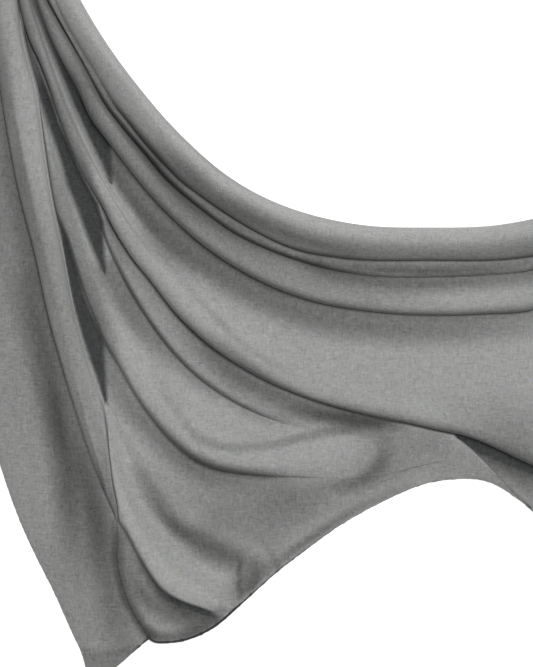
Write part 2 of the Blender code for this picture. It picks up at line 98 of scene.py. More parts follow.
# Fold lines of the swag, from its top edge outward: kind, up to which x the points are repeated on the
# other side of the hub, and points (x, y, height).
SWAG = {
    "outline": ("foot", 430, (
        (45, -80, 2), (61, -40, 2), (80.5, -0.5, 2), (118, 59.5, 2), (149, 99.5, 2), (185, 139, 2),
        (233, 179.5, 2), (300.5, 211.5, 2), (360, 224.6, 2), (430, 227.4, 2))),
    "roll": ("crest", 430, (
        (37, -82, 34), (51, -40, 34), (69, 0, 33), (107, 60, 30), (138, 100, 28), (172, 142, 27),
        (220, 185, 26), (264, 212, 25), (303, 229, 24), (350, 240, 23), (430, 243, 23))),
    "roll_crease": ("crease", 430, (
        (29, -82, 31), (39, -40, 30), (55, 0, 27), (76, 41, 24), (89, 62, 21), (102.5, 85, 18),
        (114, 104, 15), (130, 124, 13), (150, 149, 12), (165, 165, 12), (181, 181, 12), (200, 195.5, 12),
        (221, 210.5, 12), (260, 234, 13), (300, 251, 14), (340, 258, 15), (430, 260.5, 16))),
    "thin_pleat": ("crest", 430, (
        (27, -82, 30), (37, -40, 29), (51, 0, 26), (73.5, 43, 22), (86, 64, 20), (98, 85, 18),
        (110, 105, 18), (126, 125, 18), (146, 150, 17), (159, 164, 16), (174, 180, 16), (191.5, 195, 17),
        (213.5, 210, 18), (260, 239, 19), (300, 255, 19), (340, 264, 19),
        (430, 270, 19))),
    "second_crease": ("crease", 330, (
        (25, -82, 24), (35, -40, 20), (48, 0, 17), (60, 22, 15), (73, 45, 13), (85, 67, 12),
        (95, 86, 10), (105, 104, 8), (120, 124, 7), (141, 149, 7), (167, 180, 7), (200, 208, 8),
        (240, 236, 9), (280, 254, 11), (320, 267, 13), (360, 275, 15), (430, 278, 17), (480, 276, 17),
        (530, 271, 15))),
    "second_pleat": ("crest", 330, (
        (21, -82, 33), (30, -40, 32), (41, 0, 30), (57, 30, 28), (72, 57, 27), (87, 86, 26),
        (102, 112, 26), (132, 153, 26), (160, 191, 26), (200, 230, 25), (240, 257, 24), (280, 275, 23),
        (320, 289, 22), (360, 296, 21), (430, 300, 20), (480, 299, 20), (530, 296, 21))),
    "third_crease": ("crease", 330, (
        (17, -82, 22), (25, -40, 19), (36.5, 0, 16), (52, 40, 12), (73, 80, 6), (93, 122, 4),
        (109, 143, 5), (127.5, 167, 5), (147, 191, 5), (171.5, 217, 5), (198, 241, 5), (240, 270, 5),
        (280, 290, 6), (320, 303, 7), (360, 310, 8), (430, 315, 9), (480, 314, 8), (530, 310.5, 7))),
    "valley": ("soft", 430, (
        (16, -82, 22), (24, -40, 19), (33.5, 0, 16), (46, 36, 12), (65, 80, 6), (81, 120, 4),
        (94, 148, 6), (115, 190, 8), (135, 217, 8), (165, 247, 8), (200, 270, 8), (250, 300, 8),
        (300, 320, 9), (350, 332, 11), (430, 338, 13))),
    "panel_shoulder": ("soft", 430, (
        (14, -82, 24), (22, -40, 21), (32, 0, 18), (44, 40, 17), (61, 85, 16), (78, 127, 16),
        (91, 155, 17), (110, 192, 18), (128, 219, 18), (155, 250, 16), (188, 280, 15), (235, 312, 15),
        (285, 336, 16), (345, 352, 17), (430, 358, 18))),
    "panel": ("crest", 150, (
        (11, -82, 36), (19, -40, 34), (28, 0, 31), (44, 50, 29), (65, 110, 27), (90, 160, 26),
        (103, 182, 26), (115, 203, 27), (131, 231, 27), (150, 258, 26), (170, 285, 25), (200, 320, 24),
        (240, 349, 22), (280, 368, 21), (320, 383, 20), (360, 396, 19), (400, 406, 19), (440, 416, 19),
        (490, 430, 19), (533, 448, 19), (570, 462, 19))),
    "panel_edge": ("crease", 150, (
        (7, -82, 14), (13, -40, 8), (18.5, 0, 5), (29, 38, 4), (40, 62, 4), (53, 98, 4), (68, 140, 4),
        (85.5, 178, 5), (95, 194, 5), (104.5, 210, 4), (113.5, 228, 4), (130, 255, 4), (150, 280, 4),
        (180, 318, 4), (220, 353, 4), (280, 387, 4), (320, 402, 4), (360, 413, 4), (400, 421.5, 4),
        (440, 430.5, 4), (480, 441, 4), (533, 465.5, 4), (570, 481, 4))),
}

# The outer boundary of the swag: the front tail's edge, the corner beside the tail, then the long hem.
FRONT_EDGE = (
    (6, -82, 16), (12, -40, 15), (18.5, 0, 14), (23.5, 45, 18), (28, 64, 18.5), (33, 82, 19),
    (41, 130, 19), (54, 213, 15), (66, 270, 5), (80, 335, 5), (93, 380, 8), (102, 413, 10),
    (108.5, 460, 9), (111.5, 482, 8), (116.5, 505, 6), (118, 530, 5), (118, 565, 4), (125, 592, 3.5),
    (132, 610, 3), (142, 627, 2.5))
CORNER = (149, 638, EDGE_HEIGHT)
LONG_HEM = (
    (165, 642.5, 2), (180, 641, 2), (195, 636.5, 2), (221, 621.5, 2), (241, 603.5, 2), (269, 578, 2),
    (298, 555, 2), (340.5, 524.5, 2), (380, 502.5, 2), (420, 485, 2), (460, 478.5, 2), (490, 482, 2),
    (510, 493, 2), (533, 511, 2))
# On the right the hem goes on from its last points, then mirrors its first ones.
HEM_GOES_ON, HEM_MIRRORS = LONG_HEM[-3:], LONG_HEM[:5]
# The right edge of the front lobe, over the piece behind it.
LOBE_EDGE = ((455, 436.5, 5), (480, 457, 5), (500, 477, 5), (520, 496.5, 4), (533, 509.6, 2))

# Fold lines under the panel's edge: kind, share of the way out and height before the first point,
# points (x, y, height), share of the way out and height after the last point.
LOWER = {
    "upper_roll": ("crest", (0.30, 12), (
        (84, 185, 10), (93, 202, 13), (101, 220, 15), (110, 238, 16), (126, 263, 16), (145, 298, 16),
        (165, 325, 16), (200, 366, 15), (240, 394, 14), (280, 413, 12), (330, 424, 10), (390, 428, 9)),
        (0.08, 8)),
    "upper_crease": ("crease", (0.45, 10), (
        (81, 181, 6), (91, 201, 6), (98.5, 221, 7), (107, 242, 7), (112, 254, 6), (119.5, 270, 6),
        (134, 297, 5), (148, 319, 5), (163, 340, 5), (188, 368, 5), (220, 393, 5), (254, 412, 7),
        (290, 425, 9), (340, 434, 9), (390, 436, 9)), (0.16, 7.9)),
    "lower_shoulder": ("soft", (0.80, 8), (
        (47, 120, 10), (60, 160, 10), (73, 200, 10), (86, 240, 10), (94, 260, 10), (106, 278, 11),
        (122, 304, 11), (145, 345, 11), (175, 390, 12), (210, 418, 12), (250, 432, 12), (300, 440, 12),
        (350, 441, 11), (395, 446, 9)), (0.27, 7.7)),
    "lower_roll": ("crest", (0.88, 16), (
        (50, 155, 19), (62, 200, 20), (82, 262, 20), (100, 290, 20), (117, 340, 20), (140, 385, 20),
        (170, 420, 19), (200, 448, 19), (240, 459, 17), (280, 461, 15), (320, 458, 14), (365, 455, 12),
        (400, 458, 8)), (0.42, 7.2)),
    "lower_crease": ("crease", (0.94, 8), (
        (59, 222, 4), (67, 240, 4), (80, 280, 4), (96, 320, 4), (103, 338, 4), (119.5, 366, 4),
        (138, 398, 4), (158, 425.5, 4), (190, 456.5, 4), (230, 472, 4), (268, 476, 5), (300, 477, 9),
        (330, 478, 11), (365, 477, 10.5), (400, 470, 8)), (0.55, 6.6)),
    "first_band": ("crest", (0.90, 6), (
        (108, 400, 6), (130, 440, 8), (165, 487, 9), (205, 516, 9), (255, 522, 8), (310, 508, 7),
        (360, 492, 6)), (0.66, 5.9)),
    "first_valley": ("soft", (0.92, 6), (
        (132, 462, 5), (150, 496, 4), (170, 520, 4), (200, 546, 4), (232, 560, 4), (262, 562, 4),
        (310, 532, 4)), (0.78, 5)),
    "second_band": ("crest", (0.94, 6), (
        (120, 460, 7), (130, 480, 9), (145, 505, 11), (160, 525, 11), (180, 550, 10), (205, 571, 8),
        (232, 588, 5)), (0.86, 4.2)),
    "second_valley": ("soft", (0.95, 6), (
        (116, 467, 6), (126, 497, 7), (138, 522, 8), (155, 549, 8), (175, 570, 7), (200, 586, 6),
        (226, 601, 4)), (0.90, 3.8)),
    "third_band": ("crest", (0.96, 6), (
        (113, 470, 8), (119, 500, 10), (130, 527, 12), (145, 556, 12), (160, 577, 12), (180, 592, 11),
        (203, 601, 8), (219, 607, 4)), (0.93, 3.4)),
    "corner_crease": ("crease", (0.98, 5), (
        (119, 523, 4), (127, 535, 4), (139, 559, 3), (153, 581, 3), (165, 595, 3.4), (178, 603.5, 3.6),
        (193, 609, 3.4), (210, 613.5, 3.0)), (0.97, 2.7)),
    "corner": ("soft", (0.99, 4), (
        (119, 556, 4), (132, 590, 5), (152, 618, 4.4), (180, 624, 3), (210, 621, 2)), (0.985, 2.3)),
}

# Folds of the plain piece behind the lobe: kind, share of the way from the panel to the hem, and height
# beside the lobe and farther right.
BACK = {
    "back_upper_fold": ("crest", 0.24, 6.5, 14),
    "back_upper_crease": ("crease", 0.42, 6, 6),
    "back_lower_fold": ("crest", 0.66, 5.5, 12),
}
BACK_RISES = (102.0, 116.0)

# Fold lines of a tail, from the front edge outward: kind and points (x, y, height).
TAIL = {
    "front_fold": ("crest", (
        (-2, -82, 38), (3, -40, 36), (9, 0, 32), (24, 100, 27), (44, 200, 25), (60, 300, 22),
        (83, 390, 15), (102, 470, 9), (117, 522, 5))),
    "front_crease": ("crease", (
        (-9, -82, 26), (-6, -40, 22), (-4, 0, 20), (1, 90, 17), (9, 140, 14), (21, 200, 11),
        (34, 250, 8), (49.5, 320, 4), (66, 380, 4), (83, 435, 3), (101, 485, 3), (110, 506, 3),
        (118, 524, 3), (118, 565, 3), (125, 592, 3), (142, 627, 3))),
    "back_fold": ("crest", (
        (-15, -82, 30), (-15, -40, 27), (-14, 0, 25), (-9, 100, 21), (4, 200, 17), (22, 300, 13),
        (46, 400, 9), (66, 480, 8), (86, 560, 7), (106, 612, 6), (122, 640, 5), (138, 638, 3))),
    "back_crease": ("soft", (
        (-21, -82, 22), (-24, -40, 19), (-25, 0, 17), (-21, 100, 13), (-12, 200, 9), (5, 300, 7),
        (34, 400, 6), (50, 480, 5), (67, 560, 5), (85, 620, 5), (104, 655, 4), (135, 645, 3))),
    "side_fold": ("crest", (
        (-26, -82, 18), (-33, -40, 16), (-37, 0, 15), (-39, 100, 12), (-34, 200, 10), (-19, 300, 9),
        (4, 400, 8), (29, 480, 7), (58, 560, 6), (80, 625, 5), (97, 668, 4), (132, 651, 3))),
}
SIDE = (
    (-30, -82, 2), (-41, -40, 2), (-45, 0, 2), (-50, 100, 2), (-48, 200, 2), (-37, 300, 2),
    (-18, 400, 2), (0, 463, 2), (20, 520, 2), (50, 583, 2), (80, 648, 2))
TAIL_CORNER = (96, 685, 2)
TAIL_END = ((115, 667, 2), (128, 656, 2), (138, 647, 2))

# Deep gaps between pleats, sunk into the cloth and darkened with painted shadow: the stretch they lie in,
# over how many mm they deepen from their upper end, and how far they reach from left to right at each y.
GAPS = {
    "gap_beside_the_pleats": ("panel", 100, (
        (-10, 29, 34), (24, 42, 46.5), (44, 49, 56.5), (64, 57, 65), (84, 65, 75), (104, 73, 86),
        (124, 82, 98), (145, 92, 111), (164, 102, 111.5), (184, 110, 112.5))),
    "gap_beside_the_panel": ("lower_swag", 90, (
        (12, 17, 22), (24, 20, 25), (44, 23, 31), (64, 28, 38), (84, 34.5, 45), (104, 42, 53),
        (124, 48, 59.5), (144, 55.5, 69), (164, 62, 77.5), (184, 67, 87), (204, 75, 98),
        (224, 82.5, 103), (244, 90, 104), (258, 96, 104.5), (274, 104, 106))),
    "gap_beside_the_tail": ("lower_swag", 40, (
        (205, 53, 55), (240, 60, 68), (280, 68, 80), (300, 72, 86), (340, 83, 104), (360, 90, 105),
        (376, 96, 106), (404, 105, 107.5))),
    "gap_under_the_panel": ("back_piece", 6, (
        (434, 440, 480), (442, 452, 505), (450, 470, 520), (462, 500, 545), (474, 530, 570),
        (482, 556, 560))),
    "gap_under_the_corner_fold": ("lower_swag", 16, (
        (584, 153, 160), (594, 160, 169), (600, 167, 180), (604, 174, 190), (608, 183, 203),
        (612, 195, 213), (618, 213, 214))),
}
FLOOR_OF_GAP = 2.5              # height of the cloth at their bottom
GAP_SOFTNESS = 3.0              # how far their edges round over
NARROW_SHARE, NARROW_LEAST = 0.3, 0.5   # where they are narrow: this share of their width, and this more

# Creases sunk into the cloth, with painted shade along their bottom: the angles between which each is
# sharp, and its depth and half width in mm.
SLIT_FADE = 3.0                 # over how many degrees they begin and end
SLIT_SHADE = 0.3                # how dark a crease is for each mm of its depth
SLITS = {
    "roll_crease": ((37, 143), 2.2, 1.3),
    "second_crease": ((33, 147), 2.1, 1.6),
    "third_crease": ((30, 150), 1.2, 1.4),
    "panel_edge": ((60, 154), 2.0, 1.5),
    "upper_crease": ((42, 74), 1.4, 1.6),
    "lower_crease": ((64, 73), 2.1, 2.6),
    "corner_crease": ((59, 75), 1.8, 2.0),
    "front_crease": ((51, 67), 1.4, 1.6),
}

# Soft creases and shaded hollows, drawn over the folds: the stretches they lie on, rise in mm,
# half width on their left and right as one follows them, and points (x, y, shade from 0 to 1).
# The shade of each hollow is painted shade, which darkens the cloth's colour through the fold_shade
# attribute; MOST_SHADE is the most that one hollow paints.
MOST_SHADE = 0.98
PAINTED_SHADE_AND_TROUGHS = {
    "under_the_roll": (("top_roll",), 0, (15, 13), (
        (64, 22, 0.0), (86, 56, 0.0), (108, 84, 0.0), (146, 129, 0.0), (161, 148, 0.3), (190, 176, 0.62),
        (224, 205, 0.5), (250, 221, 0.25), (275, 232, 0.0))),
    "right_part_of_the_roll": (("top_roll",), 0, (17, 15), (
        (215, 193, 0.0), (235, 207, 0.4), (266, 224, 0.55), (304, 239, 0.56), (342, 248, 0.54),
        (400, 254, 0.4), (470, 254, 0.37), (533, 248, 0.42))),
    "faint_roll_crease": (("top_roll",), 0, (2.5, 12), (
        (232, 203, 0.0), (255, 218, 0.22), (280, 230.5, 0.3), (300, 237, 0.32), (325, 244.5, 0.28),
        (350, 250, 0.2), (372, 253, 0.0))),
    "top_of_the_roll": (("top_roll",), 0, (12, 9), (
        (84, 3, 0.35), (120, 58, 0.45), (152, 98, 0.5), (188, 137, 0.7), (235, 177, 0.6),
        (301, 208, 0.35), (360, 221, 0.28), (430, 223, 0.25), (533, 218, 0.25))),
    "between_the_pleats": (("top_roll", "second_pleat"), 0, (7, 11), (
        (48, 0, 0.4), (60, 18, 0.4), (75, 45, 0.3), (90, 72, 0.35), (100, 92, 0.5), (120, 119, 0.7),
        (140, 145, 0.85), (155, 164, 0.9), (170, 181, 0.87), (200, 208, 0.75), (240, 236, 0.7),
        (280, 254, 0.72), (320, 267, 0.72), (360, 275, 0.45), (400, 280, 0.45), (440, 279, 0.35),
        (533, 270, 0.25))),
    "grey_band": (("top_roll",), 0, (13, 12), (
        (290, 252, 0.15), (315, 261, 0.62), (345, 266, 0.69), (380, 269, 0.77), (430, 271, 0.8),
        (480, 269, 0.72), (533, 263, 0.5))),
    "top_of_second_pleat": (("second_pleat",), 0, (10, 16), (
        (310, 266, 0.45), (330, 273, 0.63), (365, 279, 0.65), (400, 284, 0.57), (450, 283, 0.6),
        (500, 279, 0.54), (533, 276, 0.48))),
    "second_pleat": (("second_pleat",), 0, (14, 26), (
        (45, -5, 0.5), (73, 46, 0.5), (93, 84, 0.58), (110, 110, 0.46), (131, 139, 0.58),
        (148, 164, 0.56), (161, 180, 0.62), (176, 195, 0.7), (194, 211, 0.7), (213, 226, 0.64),
        (248, 250, 0.56), (292, 271, 0.45), (330, 284, 0.38), (380, 293, 0.26), (430, 299, 0.1))),
    "right_of_the_gap": (("second_pleat",), 0, (17, 6), (
        (57, 56, 0.0), (70, 80, 0.35), (82, 103, 0.5), (95, 128, 0.6), (108, 146, 0.4),
        (122, 163, 0.1))),
    "third_crease": (("second_pleat", "panel"), 0, (9, 10), (
        (122, 160, 0.1), (147, 191, 0.2), (171, 217, 0.2), (198, 241, 0.25), (240, 270, 0.3),
        (280, 290, 0.4), (320, 303, 0.42), (360, 310, 0.4), (430, 315, 0.36), (533, 310, 0.34))),
    "roll_crease": (("top_roll",), 0, (6, 5), (
        (102, 85, 0.3), (114, 103, 0.35), (130, 123, 0.56), (151, 148, 0.8), (166, 165, 0.76),
        (182, 181, 0.58), (200, 195, 0.36), (221, 210, 0.2), (260, 234, 0.2), (300, 250, 0.3),
        (340, 258, 0.4), (380, 260, 0.1), (420, 260, 0.1), (533, 253, 0.1))),
    "thin_pleat": (("top_roll",), 0, (6, 6), (
        (84, 60, 0.3), (98, 84, 0.25), (110, 104, 0.35), (118, 114, 0.1), (132, 133, 0.15),
        (146, 150, 0.42), (159, 164, 0.78), (175, 180, 0.66), (193, 195, 0.63), (214, 210, 0.64),
        (235, 225, 0.7), (270, 243, 0.6), (300, 254, 0.36), (320, 261, 0.3))),
    "start_of_the_valley": (("panel",), 0, (29, 10), (
        (100, 148, 0.6), (111, 167, 0.8), (125.5, 192, 0.83), (150, 224, 0.8), (171, 244, 0.4),
        (190, 257, 0.0))),
    "under_second_pleat": (("panel",), 0, (36, 27), (
        (136, 212, 0.0), (155, 232, 0.45), (175, 247, 0.74), (205, 264, 0.76), (240, 286, 0.68),
        (270, 299, 0.4), (300, 311, 0.0))),
    "right_part_of_the_valley": (("panel",), 0, (27, 32), (
        (235, 283, 0.0), (270, 299, 0.45), (300, 311, 0.66), (350, 322, 0.64), (400, 326, 0.6),
        (450, 326, 0.56), (500, 323, 0.46), (533, 319, 0.3))),
    "left_of_panel": (("panel",), 0, (14, 14), (
        (22, -30, 0.3), (31, 10, 0.4), (40, 40, 0.35), (50, 70, 0.3), (63, 110, 0.48), (77, 146, 0.42),
        (84, 160, 0.35), (90, 172, 0.1))),
    "beside_the_panel": (("panel",), 0, (7, 9), (
        (80, 152, 0.1), (87, 170, 0.5), (93, 188, 0.45), (101, 204, 0.35), (109, 220, 0.0))),
    "faint_panel_crease": (("panel",), -0.6, (5, 6), (
        (158, 253, 0.0), (168, 265, 0.1), (182, 280, 0.15), (200, 300, 0.18), (220, 322, 0.27),
        (240, 342, 0.18), (260, 356, 0.18), (280, 366, 0.12), (305, 376, 0.0))),
    "panel_lower_right": (("panel",), 0, (75, 10), (
        (420, 430, 0.0), (450, 436, 0.15), (475, 442, 0.3), (500, 450, 0.48), (533, 462, 0.6))),
    "under_the_panel": (("lower_swag",), 0, (14, 27), (
        (104, 214, 0.32), (120, 240, 0.15), (150, 284, 0.35), (185, 326, 0.5), (215, 356, 0.72),
        (245, 379, 0.78), (275, 393, 0.74), (300, 403, 0.73), (330, 410, 0.74), (360, 418, 0.82),
        (400, 427, 0.2), (440, 437, 0.2))),
    "panel_lip": (("panel",), 0, (12, 8), (
        (135, 262, 0.0), (160, 293, 0.1), (190, 327, 0.3), (225, 350, 0.45), (260, 376, 0.55),
        (285, 390, 0.36), (310, 399, 0.08), (350, 410, 0.3), (400, 421, 0.36), (440, 430, 0.4),
        (457, 435, 0.55), (480, 441, 0.18), (505, 451, 0.3), (533, 463, 0.5))),
    "start_of_upper_roll": (("lower_swag",), 0, (8, 8), (
        (106, 222, 0.45), (113, 237, 0.45), (120, 251, 0.42), (130, 267, 0.25), (145, 287, 0.12),
        (165, 309, 0.0))),
    "upper_crease": (("lower_swag",), 0, (6, 18), (
        (105, 240, 0.0), (112, 254, 0.25), (119.5, 270, 0.4), (134, 297, 0.5), (148, 319, 0.42),
        (163, 340, 0.45), (188, 368, 0.45), (205, 382, 0.42), (232, 400, 0.25), (246, 407, 0.36),
        (260, 413, 0.3), (276, 418, 0.3), (291, 422, 0.1), (305, 425, 0.0))),
    "lower_crease": (("lower_swag",), 0, (11, 7), (
        (140, 401, 0.0), (158, 425, 0.1), (170, 437, 0.25), (190, 456, 0.5), (205, 463, 0.55),
        (220, 469.5, 0.55), (251, 475, 0.55), (268, 476, 0.45), (290, 476, 0.0))),
    "dark_lens": (("lower_swag",), -1.5, (8, 12), (
        (280, 408, 0.0), (295, 410, 0.35), (312, 413, 0.7), (335, 417, 0.86), (355, 420, 0.9),
        (376, 422, 0.9), (392, 424, 0.6), (412, 428, 0.0))),
    "start_of_lower_roll": (("lower_swag",), 0, (18, 16), (
        (104, 270, 0.6), (118, 296, 0.58), (132, 318, 0.54), (148, 338, 0.45), (166, 362, 0.15),
        (178, 378, 0.0))),
    "left_of_lower_roll": (("lower_swag",), 0, (16, 16), (
        (36, 90, 0.32), (45, 120, 0.1), (52, 160, 0.26), (62, 200, 0.4), (74, 240, 0.46), (84, 268, 0.5),
        (95, 300, 0.5), (104, 326, 0.5), (110, 345, 0.2))),
    "faint_lobe_crease": (("lower_swag",), -0.8, (8, 8), (
        (152, 366, 0.0), (158, 380, 0.1), (168, 399, 0.22), (182, 418, 0.26), (197, 436, 0.36),
        (225, 447, 0.38), (265, 446, 0.36), (300, 438, 0.46), (330, 432, 0.42), (352, 430, 0.3),
        (370, 432, 0.0))),
    "under_lower_roll": (("lower_swag",), 0, (16, 22), (
        (106, 350, 0.44), (112, 372, 0.5), (124, 396, 0.5), (142, 418, 0.58), (166, 444, 0.6),
        (194, 466, 0.64), (228, 477, 0.5), (262, 480, 0.3), (300, 483, 0.0))),
    "lower_field": (("lower_swag",), 0, (44, 34), (
        (168, 486, 0.2), (205, 498, 0.36), (245, 506, 0.46), (290, 504, 0.57), (335, 496, 0.3),
        (385, 480, 0.24))),
    "foot_of_the_field": (("lower_swag",), 0, (26, 26), (
        (192, 520, 0.0), (212, 524, 0.3), (240, 531, 0.3), (268, 535, 0.38), (290, 531, 0.25),
        (305, 527, 0.15))),
    "right_of_lobe": (("lower_swag",), 0, (40, 44), (
        (385, 450, 0.3), (410, 452, 0.34), (450, 458, 0.28), (490, 476, 0.25), (520, 502, 0.25))),
    "end_of_lobe": (("lower_swag",), -2.0, (15, 11), (
        (377, 436, 0.12), (383, 452, 0.36), (379, 466, 0.58), (364, 479, 0.58), (346, 486, 0.42),
        (322, 490, 0.15), (298, 490, 0.0))),
    "third_trough": (("lower_swag",), -1.0, (17, 12), (
        (131, 458, 0.0), (138, 476, 0.3), (149, 495, 0.5), (162, 514, 0.72), (175, 528, 0.86),
        (190, 538, 0.7), (205, 545, 0.0))),
    "end_of_the_trough": (("lower_swag",), -1.0, (22, 24), (
        (170, 524, 0.0), (185, 535, 0.3), (200, 544, 0.72), (217, 552, 0.8), (235, 559, 0.72),
        (252, 567, 0.5))),
    "first_hem_gather": (("lower_swag",), -1.2, (3, 4), (
        (238, 556, 0.3), (240, 566, 0.75), (239, 582, 0.7), (241, 598, 0.6))),
    "second_hem_gather": (("lower_swag",), -1.2, (5, 5), (
        (252, 560, 0.0), (257, 572, 0.3), (252, 588, 0.6))),
    "third_hem_gather": (("lower_swag",), -1.0, (5, 5), (
        (262, 540, 0.1), (270, 552, 0.3), (279, 567, 0.45))),
    "along_the_hem": (("lower_swag",), -0.5, (26, 8), (
        (226, 612, 0.1), (236, 601, 0.3), (246, 591, 0.76), (262, 576, 0.55), (280, 561, 0.2),
        (300, 546, 0.0))),
    "along_the_long_hem": (("lower_swag",), 0, (9, 7), (
        (268, 570, 0.1), (285, 557, 0.45), (312, 538, 0.62), (345, 516, 0.48), (380, 498, 0.25),
        (410, 486, 0.15))),
    "inside_the_corner_hem": (("lower_swag",), 0, (13, 8), (
        (150, 634, 0.75), (160, 638, 0.75), (175, 638, 0.7), (190, 634, 0.8), (205, 626, 0.7),
        (220, 615, 0.4))),
    "corner_piece": (("lower_swag",), 0, (14, 22), (
        (119, 535, 0.36), (127, 565, 0.55), (142, 592, 0.74), (158, 606, 0.7), (176, 614, 0.74),
        (196, 619, 0.75), (214, 622, 0.4))),
    "under_corner_fold": (("lower_swag",), -0.3, (6, 12), (
        (121, 526, 0.2), (128, 538, 0.4), (136, 552, 0.55), (143, 566, 0.78), (151, 579, 0.88),
        (161, 592, 0.95), (172, 602, 0.97), (188, 609, 0.95), (203, 613, 0.85), (219, 618, 0.6))),
    "beside_the_tail": (("lower_swag", "back_tail"), 0, (12, 8), (
        (115, 520, 0.3), (116, 545, 0.84), (117, 565, 0.86), (121, 585, 0.88), (127, 602, 0.94),
        (134, 614, 0.93), (142, 627, 0.95), (149, 637, 0.97))),
    "front_tail": (("front_tail",), 0, (20, 20), (
        (0, -40, 0.0), (14, 80, 0.03), (30, 160, 0.0), (46, 240, 0.24), (60, 300, 0.3), (78, 370, 0.3),
        (98, 440, 0.27), (114, 505, 0.3))),
    "end_of_front_tail": (("front_tail",), 0, (8, 12), (
        (96, 405, 0.0), (102, 440, 0.15), (106, 475, 0.3), (112, 505, 0.6), (116, 518, 0.6))),
    "right_of_the_front_crease": (("front_tail",), 0, (15, 7), (
        (-3, 30, 0.2), (0, 60, 0.45), (4, 100, 0.55), (11, 140, 0.4), (20, 180, 0.54), (26, 210, 0.4),
        (33, 240, 0.3), (42, 280, 0.1), (50, 320, 0.0))),
    "behind_front_tail": (("front_tail",), 0, (2, 9), (
        (8, 60, 0.15), (15, 110, 0.32), (22, 150, 0.44), (34, 205, 0.38), (45, 255, 0.28),
        (55, 300, 0.22), (72, 370, 0.24), (88, 430, 0.42), (106, 490, 0.6))),
    "back_tail": (("back_tail",), 0, (140, 140), (
        (-20, -40, 0.1), (-5, 80, 0.34), (15, 250, 0.4), (35, 380, 0.36), (60, 480, 0.3),
        (80, 560, 0.36), (110, 650, 0.33))),
    "tail_hollow": (("back_tail",), -1.5, (26, 27), (
        (-4, 40, 0.25), (3, 110, 0.52), (10, 150, 0.57), (18, 190, 0.6), (26, 230, 0.6), (34, 270, 0.6),
        (41, 310, 0.6), (48, 345, 0.64), (59, 390, 0.62), (71, 430, 0.66), (81, 465, 0.8),
        (91, 500, 0.86), (98, 530, 0.85), (102, 556, 0.74), (110, 585, 0.56), (117, 615, 0.5),
        (124, 640, 0.3))),
    "tail_crease": (("back_tail",), -2.0, (14, 25), (
        (20, 262, 0.0), (27, 285, 0.3), (33, 315, 0.45), (42, 350, 0.5), (50, 385, 0.6), (56, 412, 0.76),
        (60, 435, 0.8), (66, 465, 0.72), (69, 495, 0.72), (73, 530, 0.5), (76, 565, 0.18),
        (76, 605, 0.0))),
    "tail_crease_line": (("back_tail",), -1.0, (6, 7), (
        (48, 375, 0.0), (53, 400, 0.5), (57, 420, 0.6), (61, 440, 0.5), (65, 460, 0.2), (68, 480, 0.0))),
    "turned_hem": (("back_tail",), -0.4, (2.5, 50), (
        (76, 649, 0.38), (90, 652, 0.38), (110, 652, 0.38), (131, 647, 0.38))),
    "under_panel_right": (("back_piece",), 0, (12, 28), (
        (452, 433, 0.93), (465, 439, 0.98), (480, 446, 0.98), (500, 455, 0.97), (520, 465, 0.98),
        (540, 474, 0.97), (600, 490, 0.4))),
    "back_piece": (("back_piece",), 0, (90, 90), (
        (470, 470, 0.25), (560, 500, 0.25), (640, 520, 0.3), (700, 480, 0.3), (745, 380, 0.3))),
}
MIRRORED_FROM, MIRRORED_BY = 500.0, 620.0   # right of the photo the hollows follow those on the left

# Painted shade on the hem, darkest in the shade of the corner: x in mm, and how dark from 0 to 1.
HEM_PAINTED_SHADE = ((80, 100, 130, 149, 245, 258, 300, 335, 430), (0.15, 0.5, 0.6, 1.0, 1.0, 0.8, 0.7, 0.4, 0.3))
HEM_RADIUS, DARK_HEM_MORE = 0.7, 0.6    # half its width, and how much fuller it is where it is darkest
HEM_WAVES = ((0.1, 0.9, 0), (0.08, 0.37, 1))    # its uneven width: height, pace and start of each wave
HEM_BUMP = 0.45                 # how much fuller it is at the small bumps, which come where two waves meet
HEM_BUMP_WAVES = ((0.5, 1.3), (0.19, 0))
HEM_INSET = 0.5                 # from the outline to its middle
HEM_LIFT, HEM_LIFT_PACE = 0.15, 0.21    # how far it lies off the surface, and how it waves up and down
HEM_STEP = 2.5                  # between its points

# How square a fold's lower side drops, where it isn't an even quarter of an ellipse.
EVEN = 2.0
SQUARENESS = {"panel": 2.8, "lower_roll": 2.6, "upper_roll": 2.4, "second_pleat": 2.4, "roll": 1.5}

# The drape lies lower than the gather: how much of its height each fold keeps in the middle of the swag,
# and the angle around which it loses the rest.
RELIEF = {"outline": 1.0, "roll": 0.9, "front_fold": 0.75}
OTHER_RELIEF = 0.62
LOWER_PAST, LOWER_FADE = 23.0, 11.0

# Rows of mesh from a fold line of each kind to the next.
ROWS = {"foot": 12, "crest": 11, "crease": 11, "soft": 10}

# The weave: how finely the slubs lie along the weft and along the warp, and where each set starts.
WEFT, WARP = (125, 520, 520), (520, 125, 520)
WEFT_SEED, WARP_SEED, SUNK_WEFT_SEED, SUNK_WARP_SEED = 3.1, 7.7, 13.3, 19.9
WANDER = (0.004, 0.004, 0.004)  # how far the yarns stray, in metres
SLUB_IN_LIGHT, SLUB_IN_SHADE, SLUB_IN_GAPS = 0.75, 0.5, 0.7  # how they stand out, and more in the dark
CLOUDS, GRAIN = 0.10, 0.08      # how much the tone differs over wide patches and from thread to thread
TINT_LEAST, TINT_SPREAD = (0.925, 0.95, 0.91), (0.15, 0.10, 0.18)   # how much the hue does
MATT, SLUB_GLOSS = 0.82, 0.08   # the cloth's roughness, and how much less a slub has
HEM_LIGHT, HEM_FUZZ, HEM_WEAR = 0.35, 0.5, 0.9  # the hem's least tone, and what fuzz and wear add

# The stage: half of the floor's side in metres, where the key light comes from and how wide it is, and
# the camera.
FLOOR_HALF = 6.0
KEY_FROM = (0.3, 0.6, 1.0)
KEY_SPREAD = 35
LENS, SENSOR = 280, 36
FARTHEST = 60


